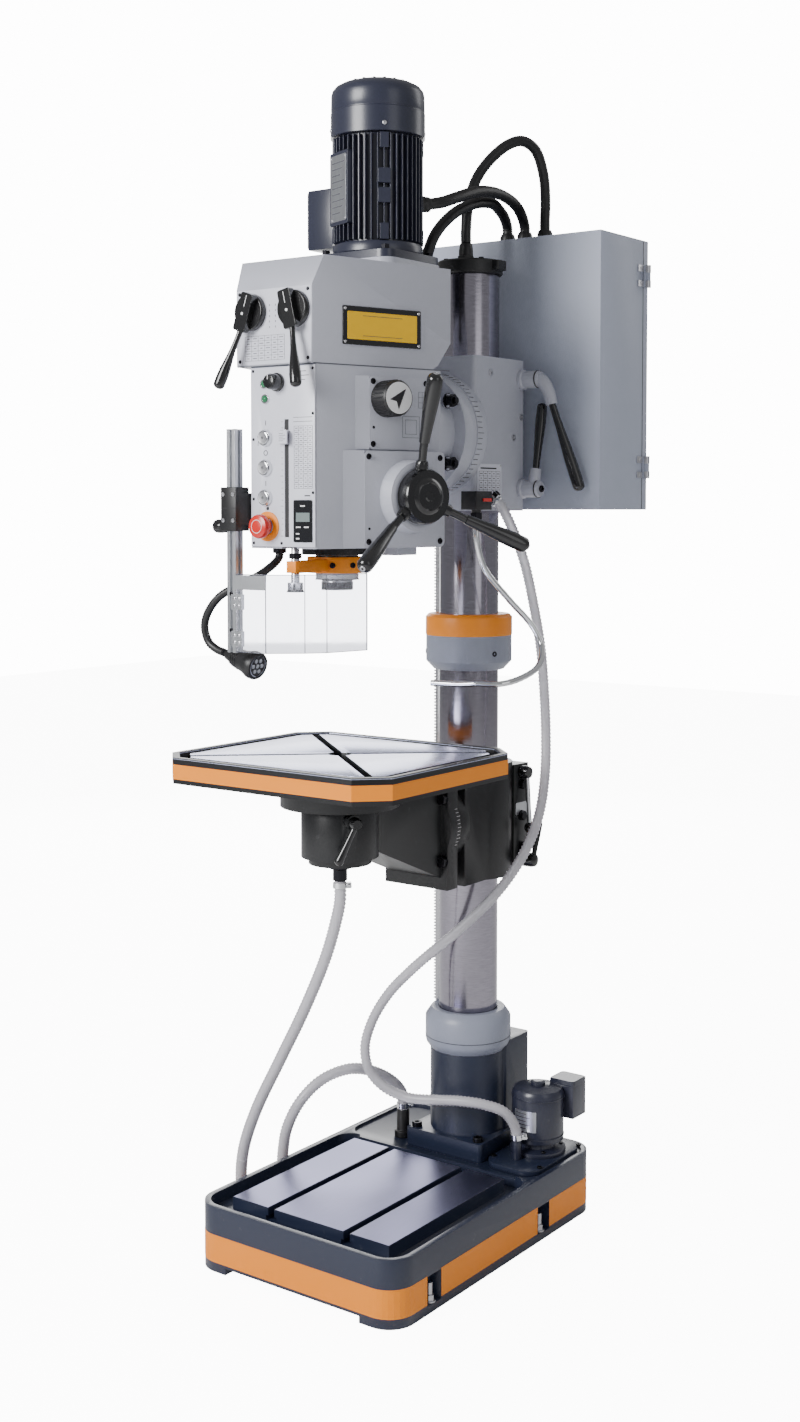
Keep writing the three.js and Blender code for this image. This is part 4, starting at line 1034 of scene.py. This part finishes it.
piece("sideScrews", "head", blackOxide,
      *[s for u, v in ((117, 1577), (117, 1472), (228, 1577), (228, 1472)) for s in ovalScrew(u, v, 8.3)],
      *[s for u, v in ((105, 1451), (105, 1308), (256, 1451), (256, 1308)) for s in ovalScrew(u, v, 12.3)],
      moved(sideSeat, disc(118, 1500, 8.3, 8.7, 2.5, sides=16)),
      moved(sideSeat, disc(106, 1330, 12.3, 12.7, 2.2, sides=16)),
      angle=30)
coverInk = sideSeat @ Matrix.Translation((0, 0, 8.3))
labelLines = [block(212, 228, v, v + 0.5, 0, 0.25) for v in (1535, 1544, 1553, 1562)]
labelLines += [block(u, u + 0.5, 1535, 1562, 0, 0.25) for u in (212, 220, 227.5)]
for low, high, left, rightEnd in ((1484, 1520, 178, 214), (1490, 1514, 184, 208)):
    labelLines += [block(left, rightEnd, low, low + 0.6, 0, 0.25),
                   block(left, rightEnd, high, high + 0.6, 0, 0.25),
                   block(left, left + 0.6, low, high, 0, 0.25),
                   block(rightEnd, rightEnd + 0.6, low, high, 0, 0.25)]
piece("selectorMarks", "head", greyPrint, *[moved(coverInk, s) for s in labelLines])
for label, u0, u1, v0, v1, out in (("selector", 86, 109.3, 1463.2, 1585.8, 8),
                                   ("feed", 61, 96.3, 1298.2, 1460.8, 12)):
    slope = seat(sideSeat @ Vector((0, v0, 0)), sideSeat.to_3x3() @ Vector((1, 0, 0)),
                 sideSeat.to_3x3() @ Vector((0, 0, -1)))
    piece(f"{label}Slope", "head", headPaint,
          moved(slope, prism([(u0, 0.1), (u1, 0.1), (u1, -out)], 0, v1 - v0)))

name = {"u": (60, 222), "v": (1636, 1700)}
(nu0, nu1), (nv0, nv1) = name["u"], name["v"]
piece("namePlateFrame", "head", glossBlack, moved(sideSeat, roundedBlock(nu0, nu1, nv0, nv1, 0, 2.4, 2)),
      bevel=0.6)
piece("namePlate", "head", yellowPlate, moved(sideSeat,
                                              roundedBlock(nu0 + 9, nu1 - 9, nv0 + 9, nv1 - 9, 2.2, 3,
                                                           1.5)),
      bevel=0.3)
piece("namePlateScrews", "head", screwSteel,
      *[moved(sideSeat, dome(u, v, 2.4, 2.6, 1.3)) for u in (nu0 + 4.6, nu1 - 4.6)
        for v in (nv0 + 4.6, nv1 - 4.6)])
inkSpot = sideSeat @ Matrix.Translation((0, 0, 3))
piece("namePlateBorder", "head", greyPrint, *[moved(inkSpot, block(nu0 + 40, nu1 - 40, v, v + 0.8, 0, 0.2))
                                              for v in (nv0 + 15, nv1 - 15.8)])

gearSide = [moved(sideSeat, block(2, 286, 1601.4, 1603.2, -0.4, 0.3))]
piece("gearboxSeam", "head", greyPrint, *gearSide,
      moved(leverSeat, block(-80, 80, 1601.2, 1602.6, -0.3, 0.3)))

lamps = [(-24, 1572), (-22, 1547)]
piece("greenLamps", "head", greenLens, *[moved(panelSeat, dome(u, v, 1.5, 6, 3.5)) for u, v in lamps])
piece("lampBezels", "head", chromeMetal, *[moved(panelSeat, ringOf(u, v, 0, 2.4, 5.6, 8)) for u,
                                           v in lamps], bevel=0.3)
selectorSpot = seat((4, -578.2, 1574), right, up)
made = piece("modeSelectorKnob", "mode_selector", glossBlack,
             moved(selectorSpot, lathe([(0, 0), (15.5, 0), (15.5, 4), (13.5, 6), (13, 19), (11, 23.5),
                                        (0, 25.2)], 36)),
             bevel=0.5)
swapNode("mode_selector")
piece("modeSelectorMark", "mode_selector", whitePrint,
      moved(selectorSpot, block(-0.7, 0.7, 3, 10.5, 24.4, 25.3)))
buttonBodies = {"push_button_start": 1482, "push_button_reverse": 1432, "push_button_stop": 1382}
piece("buttonBezels", "head", chromeMetal,
      *[moved(panelSeat, lathe([(11.4, 0), (14.2, 0), (14.2, 2.6), (12.6, 6.4), (11.4, 6.4), (11.4, 0)],
                               40, -22, v))
        for v in buttonBodies.values()], slotName="button_steel")
for body, v in buttonBodies.items():
    piece(f"{body}_face", body, screwSteel, moved(seat((-22, -587, v), right, up),
          lathe([(0, -0.5), (9.6, -0.5), (9.6, 0.4), (7.4, 0.2), (0, -0.1)], 36)))
piece("stopCollar", "head", orangePaint,
      moved(panelSeat, lathe([(14.3, 0), (25, 0), (25, 2), (21, 3.3), (14.3, 3.3), (14.3, 0)], 40, -18,
                             1334)))
stopSpot = seat((-18, -583.5, 1334), right, up)
made = piece("stopMushroom", "emergency_stop", redCap,
             moved(stopSpot, lathe([(0, 0), (13, 0), (13.5, 7), (18.6, 8.6), (20.2, 11), (20.2, 18),
                                    (18.6, 21.8), (14, 23.6), (0, 24.4)], 44)))
swapNode("emergency_stop_button")
rings = [moved(stopSpot, ringOf(0, 0, 22.4, 23.9, 10.5, 11.4))]
piece("stopArrows", "emergency_stop", whitePrint, *rings)

ink = panelSeat
marks = [moved(ink, block(-22.6, -21.4, v - 4, v + 4, 0, 0.25)) for v in (1507, 1406)]
marks += [moved(ink, ringOf(-22, 1457, 0, 0.25, 3.4, 4.6)), moved(ink, disc(-18, 1364, 0, 0.25, 3))]
marks += [moved(ink, block(u, u + 0.7, v - 5, v + 5, 0, 0.25)) for u,
          v in ((-36, 1482), (-36, 1382), (-39, 1474))]
for k in range(20):
    v = 1318 + 10 * k
    marks.append(moved(ink, block(12.5 if k % 5 else 10, 16.5, v - 0.25, v + 0.25, 0, 0.25)))
for v, length in ((1590, 20), (1583, 26), (1576, 18)):
    marks.append(moved(ink, block(46, 46 + length, v - 0.5, v + 0.5, 0, 0.25)))
marks += [moved(ink, block(38, 79, v, v + 0.7, 0, 0.25)) for v in (1514, 1507)]
marks.append(moved(ink, block(62, 74, 1384, 1386, 0, 0.25)))
piece("panelMarks", "head", inkAndPaintedShade, *marks)
piece("panelScaleTable", "head", greyPrint, *printedTable(ink, 40, 79, 1397, 1500, 15, 4, 5))
piece("panelScrews", "head", blackOxide,
      *[moved(ink, dome(u, v, 0, 2.6, 1.4)) for u,
        v in ((-49, 1594), (-49, 1480), (-49, 1380), (-49, 1306), (80, 1520),
                                                         (80, 1390), (12, 1306), (80, 1594))])
# A dark ink sheet at the bottom of the depth scale slot stands in for the shade inside the slot (painted
# shade).
piece("slotPaintedShade", "head", inkAndPaintedShade, moved(ink, block(19.1, 27.9, 1316.2, 1511.8, -3.2, -1.6)))
piece("depthDisplay", "head", displayGlass, moved(ink, roundedBlock(39, 79, 1308, 1378, 0, 1.8, 2.5)),
      bevel=0.5)
glass = ink @ Matrix.Translation((0, 0, 1.8))
piece("displayWindow", "head", enamel("liquidCrystal", tone(120, 132, 132), 0.15, bump=0.02),
      moved(glass, block(45, 74, 1342, 1357, 0, 0.4)))
displayMarks = [moved(glass, block(u, u + n, v, v + 2.2, 0, 0.25)) for u, v, n in
                ((54, 1367, 10), (45, 1332, 10), (62, 1332, 10), (45, 1321, 7), (45, 1313, 7))]
piece("displayMarks", "head", whitePrint, *displayMarks)
piece("depthPointer", "quill", panelSheet, moved(seat((24, -588, 1482), right, up),
                                                 roundedBlock(-10, 10, -11, 11, 0, 2, 2)),
      bevel=0.4)
piece("depthPointerMarks", "quill", inkAndPaintedShade,
      *[moved(seat((24, -590, 1482), right, up),
              block(-7, 7 if k % 2 else 2, k * 3 - 6.3, k * 3 - 5.7, 0, 0.25)) for k in range(5)])


def speedLever(name, body, node, x, lean):
    spot = seat((x, -582.3, 1692), right, up) @ Matrix.Rotation(lean, 4, "Z")
    made = piece(name, body, glossBlack,
                 moved(spot, lathe([(0, 0), (31, 0), (31, 9), (29.5, 11.5), (0, 12.5)], 48)),
                 moved(spot, roundedBlock(-13, 13, -34, 31, 11, 24, 4)),
                 shapedHandle(spot @ Vector((0, -30, 17)), spot @ Vector((0, -128, 36)),
                              [5, 4.6, 4.8, 5.6, 7.2, 9, 10, 9.6]),
                 bevel=0.8)
    swapNode(node)
    piece(name + "Mark", body, whitePrint, moved(spot, block(-0.6, 0.6, 8, 27, 24, 24.4)),
          moved(spot, disc(0, -4, 24, 24.6, 2.4)))


speedLever("speedLeverLeft", "speed_lever_left", "speed_lever_left", -47, -0.34)
speedLever("speedLeverRight", "speed_lever_right", "speed_lever_right", 47, 0.24)

knobFace = sideSeat @ Matrix.Translation((143, 1548, 46))
made = piece("feedSelector", "feed_selector_knob", satinBlack,
             moved(knobFace, lathe([(0, -37.4), (31, -37.4), (31, -34), (30, -32), (30, -3), (28, 0),
                                    (0, 0)], 48)),
             *[moved(knobFace @ Matrix.Rotation(k * math.pi / 12, 4, "Z"),
                     block(29.6, 31, -1.4, 1.4, -31, -5)) for k in range(24)],
             bevel=0.5)
swapNode("feed_selector_knob")
piece("feedSelectorFace", "feed_selector_knob", whitePrint,
      moved(knobFace, disc(0, 0, 0, 0.6, 26.5, sides=48)), bevel=0.2)
arrow = [(0, 21), (-12, -15), (0, -8), (12, -15)]
piece("feedSelectorArrow", "feed_selector_knob", inkAndPaintedShade,
      moved(knobFace @ Matrix.Rotation(math.radians(-42), 4, "Z"), prism(arrow, 0.5, 1.0)))

feed = {"u": 190, "v": 1384}
feedSpot = sideSeat @ Matrix.Translation((feed["u"], feed["v"], 0))
made = piece("capstanHub", "capstan", glossBlack, moved(feedSpot, lathe(
    [(0, 40.3), (46, 40.3), (47, 43), (47, 60), (44, 66), (31, 67), (28, 70), (24, 71.6), (22, 69.4),
     (9, 69), (7, 71),
     (0, 71.6)], 56)))
swapNode("capstan_hub")
piece("feedBossRing", "head", headPaint, moved(feedSpot,
                                               lathe([(49, 38), (57, 38), (57, 39.8), (54, 40.9),
                                                      (49, 40.9), (49, 38)], 56)))
for index, degrees in enumerate((95, 215, 335)):
    spot = feedSpot @ Matrix.Rotation(math.radians(degrees), 4, "Z")
    piece(f"capstanSocket{index + 1}", "capstan", glossBlack,
          sweep([spot @ Vector(p) for p in ((34, 0, 47), (56, 0, 54), (60, 0, 55.2))], [12, 11, 9.5], 24))
    made = piece(f"capstanArm{index + 1}", "capstan", glossBlack,
                 shapedHandle(spot @ Vector((52, 0, 52.6)), spot @ Vector((92, 0, 64)), [7, 7, 7.4], 6),
                 shapedHandle(spot @ Vector((91, 0, 63.7)), spot @ Vector((194, 0, 105)),
                              [9, 9.8, 11, 12.4, 13.6, 14, 13.6]))
    swapNode(f"capstan_arm_{index + 1}")
    tipSpot = spot @ Matrix.Translation((203, 0, 108.6)) @ Matrix.Rotation(math.radians(68.2), 4, "Y")
    piece(f"capstanArmScrew{index + 1}", "capstan", screwSteel,
          moved(tipSpot, socketScrew(0, 0, -1.4, 5, 2.4)), angle=30)
print("head front and side done")


# ---- motor

motor = {"y": -294, "low": 1800, "body": 1832, "cover": 2021, "finRoot": 70, "finTip": 80.8, "fins": 44,
         "bossAngles": (-45, 45, 135, 225), "vents": 18}
my = motor["y"]


def motorSeat(degrees, radius, z):
    a = math.radians(degrees)
    return seat((radius * math.cos(a), my + radius * math.sin(a), z), (-math.sin(a), math.cos(a), 0), up)


fins = [moved(motorSeat(360 * (k + 0.5) / motor["fins"], 0, 0),
              block(-1.1, 1.1, motor["body"] + 3, motor["cover"] - 3, motor["finRoot"] - 1,
                    motor["finTip"]))
        for k in range(motor["fins"])]
lugs = [moved(motorSeat(a, 0, 0), block(-8, 8, v0, v1, 66, 81.4))
        for a in motor["bossAngles"] for v0, v1 in ((1834, 1862), (1992, 2019))]
lugs += [moved(motorSeat(-45, 0, 0), roundedBlock(-11, 11, v, v + 26, 66, 83, 3)) for v in (1897, 1931)]
made = piece("motorBody", "head", motorPaint,
             roundedBlock(-84, 84, my - 84, my + 84, motor["low"], motor["low"] + 14, 24),
             lathe([(0, 1813), (78, 1813), (81, 1816), (81, 1827), (78.5, 1832.4), (0, 1832.4)], 64, 0, my),
             lathe([(0, 1831), (motor["finRoot"], 1831), (motor["finRoot"], 2021), (0, 2021)], 64, 0, my),
             *fins, *lugs, bevel=0.6)
swapNode("motor_body")
piece("motorFlangeBolts", "head", blackOxide,
      *[s for x in (-66, 66) for y in (-66, 66) for s in (disc(x, my + y, 1814, 1815.5, 9, sides=24),
                                                           hexagon(x, my + y, 1815.5, 1823, 13))],
      bevel=0.5)
made = piece("motorFanCover", "head", motorPaint,
             lathe([(0, 2021.3), (84.5, 2021.3), (84.5, 2064.6), (83.2, 2066), (83.2, 2068), (84, 2069.4),
                    (83.4, 2096),
                    (81.6, 2103), (76, 2110), (66, 2115.4), (54, 2119), (30, 2121.4), (0, 2122)], 80, 0,
                   my), angle=40)
swapNode("motor_fan_cover")
# The vent openings are not cut: dark ink slots laid on the fan cover's top stand in for the shade inside
# them (painted shade).
ventPaintedShade = []
for k in range(motor["vents"]):
    spot = Matrix.Translation((0, my, 0)) @ Matrix.Rotation(2 * math.pi * k / motor["vents"], 4, "Z")
    ventPaintedShade.append(moved(spot @ Matrix.Translation((44, 0, 2120.4)) @ Matrix.Rotation(math.radians(5.4),
                                                                                        4, "Y"),
                           roundedBlock(-13, 13, -2, 2, -0.6, 0.35, 1.8)))
piece("motorVentPaintedShade", "head", inkAndPaintedShade, *ventPaintedShade)
piece("motorCoverScrews", "head", screwSteel,
      *[moved(motorSeat(a, 84.4, 2034), dome(0, 0, 0, 4.2, 2)) for a in motor["bossAngles"]])
plateSpot = motorSeat(-112, 81.4, 1928)
piece("motorPlatePad", "head", motorPaint, moved(plateSpot, roundedBlock(-31, 31, -64, 64, -12, -0.4, 4)),
      bevel=0.6)
piece("motorPlate", "head", aluminiumBar, moved(plateSpot, roundedBlock(-27, 27, -58, 58, -0.4, 0.5, 3)),
      bevel=0.2)
piece("motorPlateLines", "head", greyPrint,
      *[moved(plateSpot, block(-21, 21 - 7 * (k % 3), 44 - 11 * k, 45.4 - 11 * k, 0.5, 0.7))
        for k in range(9)])
piece("motorPlateRivets", "head", screwSteel,
      *[moved(plateSpot, dome(u, v, 0.5, 2, 1)) for u in (-23, 23) for v in (-54, 54)])
boxSpot = seat((-146, -272, 1890), (0, -1, 0), up)
piece("terminalBoxLid", "head", motorPaint, moved(boxSpot, roundedBlock(-39, 39, -53, 53, 0, 3.4, 6)),
      bevel=1)
piece("terminalBoxScrews", "head", screwSteel,
      *[moved(boxSpot, socketScrew(u, v, 3.2, 4, 2.6)) for u in (-31, 31) for v in (-45, 45)], angle=30)
glandWay = (Vector(motorConduitRoute[1]) - Vector(motorConduitRoute[0])).normalized()
glandSpot = seat(Vector(motorConduitRoute[0]) + glandWay * 2, up.cross(glandWay), up)
piece("motorGland", "head", satinBlack, moved(glandSpot, hexagon(0, 0, -10, 2, 27)),
      moved(glandSpot, lathe([(11, 2), (14, 2), (14, 9), (12.4, 14), (11, 14), (11, 2)], 30)), bevel=0.5)
controlWay = seat((4, -198, 1752), (-1, 0, 0), up)
piece("controlGland", "head", satinBlack, moved(controlWay, hexagon(0, 0, -3, 7, 27)),
      moved(controlWay, lathe([(11, 7), (14, 7), (14, 12), (12.4, 16), (11, 16), (11, 7)], 30)), bevel=0.5)
print("motor done")


# ---- tilt clamp nuts, quill and spindle

nutSpot = seat((82, -194, 1503), (0, 1, 0), up)
nutShapes = []
for v in (-57, 57):
    nutShapes += [moved(nutSpot, disc(0, v, 0, 2.5, 14)), moved(nutSpot, hexagon(0, v, 2.5, 17, 21, 0.4)),
                  moved(nutSpot, disc(0, v, 17, 22, 6, sides=20))]
piece("tiltClampNuts", "head", blackOxide, *nutShapes, bevel=0.7)

quillY = -414  # the spindle axis stands this far in front of the column
piece("headUnderRing", "head", satinBlack, ringOf(0, quillY, 1284, 1297.4, 39, 61.5, 56), bevel=1)
piece("quillGroove", "quill", inkAndPaintedShade, ringOf(0, quillY, 1240, 1241.6, 37, 38.15, 48))
piece("quillCollarScrews", "quill", blackOxide,
      *[moved(seat((52 * math.cos(a), quillY + 52 * math.sin(a), 1266), (-math.sin(a), math.cos(a), 0), up),
              socketScrew(0, 0, -1, 5, 3.2)) for a in [math.radians(t) for t in (-60, -20, 120)]], angle=30)
piece("quillCollarSlit", "quill", inkAndPaintedShade,
      moved(seat((0, quillY, 0), right, up), block(50, 52.3, 1252.6, 1279.6, -1, 1)))
piece("spindleNose", "spindle", blackOxide,
      ringOf(0, quillY, 1222, 1236, 20, 27.6, 48), ringOf(0, quillY, 1239, 1247, 20, 27.4, 48), bevel=0.8)
piece("rodFootNut", "quill", satinBlack, hexagon(25, -558, 1227, 1238, 24),
      disc(25, -558, 1224, 1228, 15, 13.4), bevel=0.6)
piece("rodUpperNut", "quill", blackOxide, hexagon(25, -558, 1280.5, 1289, 20), bevel=0.5)
piece("rodThread", "quill", toolSteel,
      *[ringOf(25, -558, z, z + 1.2, 6.4, 7.5, 20) for z in [1242 + 2.4 * k for k in range(4)]])
print("quill done")


# ---- guard and lamp

post = {"x": -81, "y": -590, "low": 1120, "high": 1498}
gx, gy = post["x"], post["y"]
quarter = [(10, -9.2), (10, -2.8), (5.4, -2.8), (5.4, 2.8), (10, 2.8), (10, 9.2)]
postOutline = []
for k in range(4):
    turn = Matrix.Rotation(k * math.pi / 2, 2)
    postOutline += [tuple(turn @ Vector(p) + Vector((gx, gy))) for p in quarter]
made = piece("guardPost", "guard_post", aluminiumBar, prism(postOutline, post["low"], post["high"]),
             bevel=0.3)
swapNode("guard_post")
piece("guardPostScrews", "guard_post", blackOxide, socketScrew(gx, gy, post["high"] - 2.6, 4.4, 2.5),
      *[moved(seat((gx, gy - 10.2, z), right, up), socketScrew(0, 0, -0.6, 3.6, 1.6))
        for z in (1158, 1220)], angle=30)
clampFace = seat((gx, gy - 17, 0), right, up)
piece("guardClampScrews", "head", screwSteel,
      *[moved(clampFace, socketScrew(u, v, -0.4, 3.6, 2)) for u in (-11, 11) for v in (1344, 1388)],
      angle=30)
piece("guardClampSeam", "head", inkAndPaintedShade, moved(clampFace, block(-17, 17, 1364, 1365, -0.5, 0.25)))
knobSpot = seat((-97, gy, 1334), (0, -1, 0), up)
piece("guardKnob", "head", glossBlack,
      moved(knobSpot, lathe([(0, 8), (10, 8), (11.2, 10), (11.2, 23), (9.6, 26), (0, 26.4)], 32)),
      *[moved(knobSpot @ Matrix.Rotation(k * math.pi / 8, 4, "Z"), block(10.6, 11.8, -1, 1, 10, 23))
        for k in range(16)],
      bevel=0.4)

folds = [(-63, -608), (2, -608), (52, -566), (75, -536), (94, -450)]
inner = [(91, -450), (72.4, -534.6), (50, -563.6), (1, -605), (-63, -605)]
shield = {"low": 1122, "high": 1254}
made = piece("guardShield", "guard_shield", shieldClear,
             prism(folds + inner, shield["low"], shield["high"]), bevel=0.3, angle=20)
swapNode("guard_shield")
piece("shieldFolds", "guard_shield", greyPrint,
      *[block(x - 0.5, x + 0.5, y - 0.5, y + 0.5, shield["low"] + 0.5, shield["high"] - 0.5) for x,
        y in folds])
piece("shieldEdge", "guard_shield", enamel("shieldRim", tone(170, 172, 190), 0.2, bump=0.02, coat=0.4),
      *[prism([a, b, (b[0] - 0.4, b[1] + 1.2), (a[0] - 0.4, a[1] + 1.2)], z, z + 1.1)
        for a, b in zip(folds, folds[1:]) for z in (shield["low"] + 0.2, shield["high"] - 1.3)])
piece("shieldStrip", "guard_shield", aluminiumBar,
      moved(seat((0, -609.6, 0), right, up), roundedBlock(-66, 4, 1228, 1252, 0.4, 1.6, 2)),
      *[block(gx + 10.7, gx + 34, -613, -604, z, z + 26) for z in (1132, 1194)], bevel=0.4)
piece("shieldScrews", "guard_shield", screwSteel,
      *[moved(seat((u, -613, z), right, up), dome(0, 0, 0, 3.6, 2)) for u in (-62, -52)
        for z in (1139, 1151, 1201, 1213)])

lampRoute = [
    (-84, -470, 1295.4), (-84, -472, 1278), (-96, -502, 1252), (-120, -532, 1232), (-156, -546, 1211),
    (-180, -551, 1182), (-188, -551, 1156), (-181, -548, 1130), (-164, -546.5, 1118), (-147, -546, 1113),
]
lampSpots = evenRoute(lampRoute, 2.2)[0]
made = piece("lampArm", "head", satinBlack,
             sweep(lampSpots, [7.5 if i % 2 else 6.7 for i in range(len(lampSpots))], 18), angle=80)
swapNode("lamp_arm")
piece("lampSocket", "head", blackOxide, lathe([(0, 1286), (11, 1286), (12, 1288), (12, 1297), (0, 1297)],
                                              30, -84, -470),
      bevel=0.5)
lampAim = Vector((0.96, -0.03, -0.24)).normalized()
lampAcross = lampAim.cross(up).normalized()
lampTip = seat((-147, -546, 1113), -lampAcross, lampAcross.cross(lampAim))
made = piece("lampHead", "lamp_head", satinBlack, moved(lampTip, lathe(
    [(0, 7.6), (8.6, 7.6), (9.4, 10), (12, 22), (14.4, 24), (15, 26), (20, 56), (24.4, 69), (25, 72),
     (24.6, 80),
     (23, 83.2), (19.6, 84), (18.6, 81.6), (0, 81.6)], 48)), bevel=0.4)
swapNode("lamp_head")
piece("lampBezel", "lamp_head", chromeMetal, moved(lampTip, ringOf(0, 0, 81.4, 82.6, 17.2, 18.8, 40)))
ledSpots = [(0, 0)] + [(10.6 * math.cos(k * math.pi / 3), 10.6 * math.sin(k * math.pi / 3))
                       for k in range(6)]
piece("lampLeds", "lamp_head", ledLens, *[moved(lampTip, dome(u, v, 81.4, 4, 2.4, 20)) for u,
                                          v in ledSpots])
piece("lampHeadRings", "lamp_head", glossBlack,
      *[moved(lampTip, ringOf(0, 0, w, w + 1.4, 12, 16.6 + (w - 30) * 0.17, 40)) for w in (30, 36, 42)],
      bevel=0.3)
print("guard and lamp done")
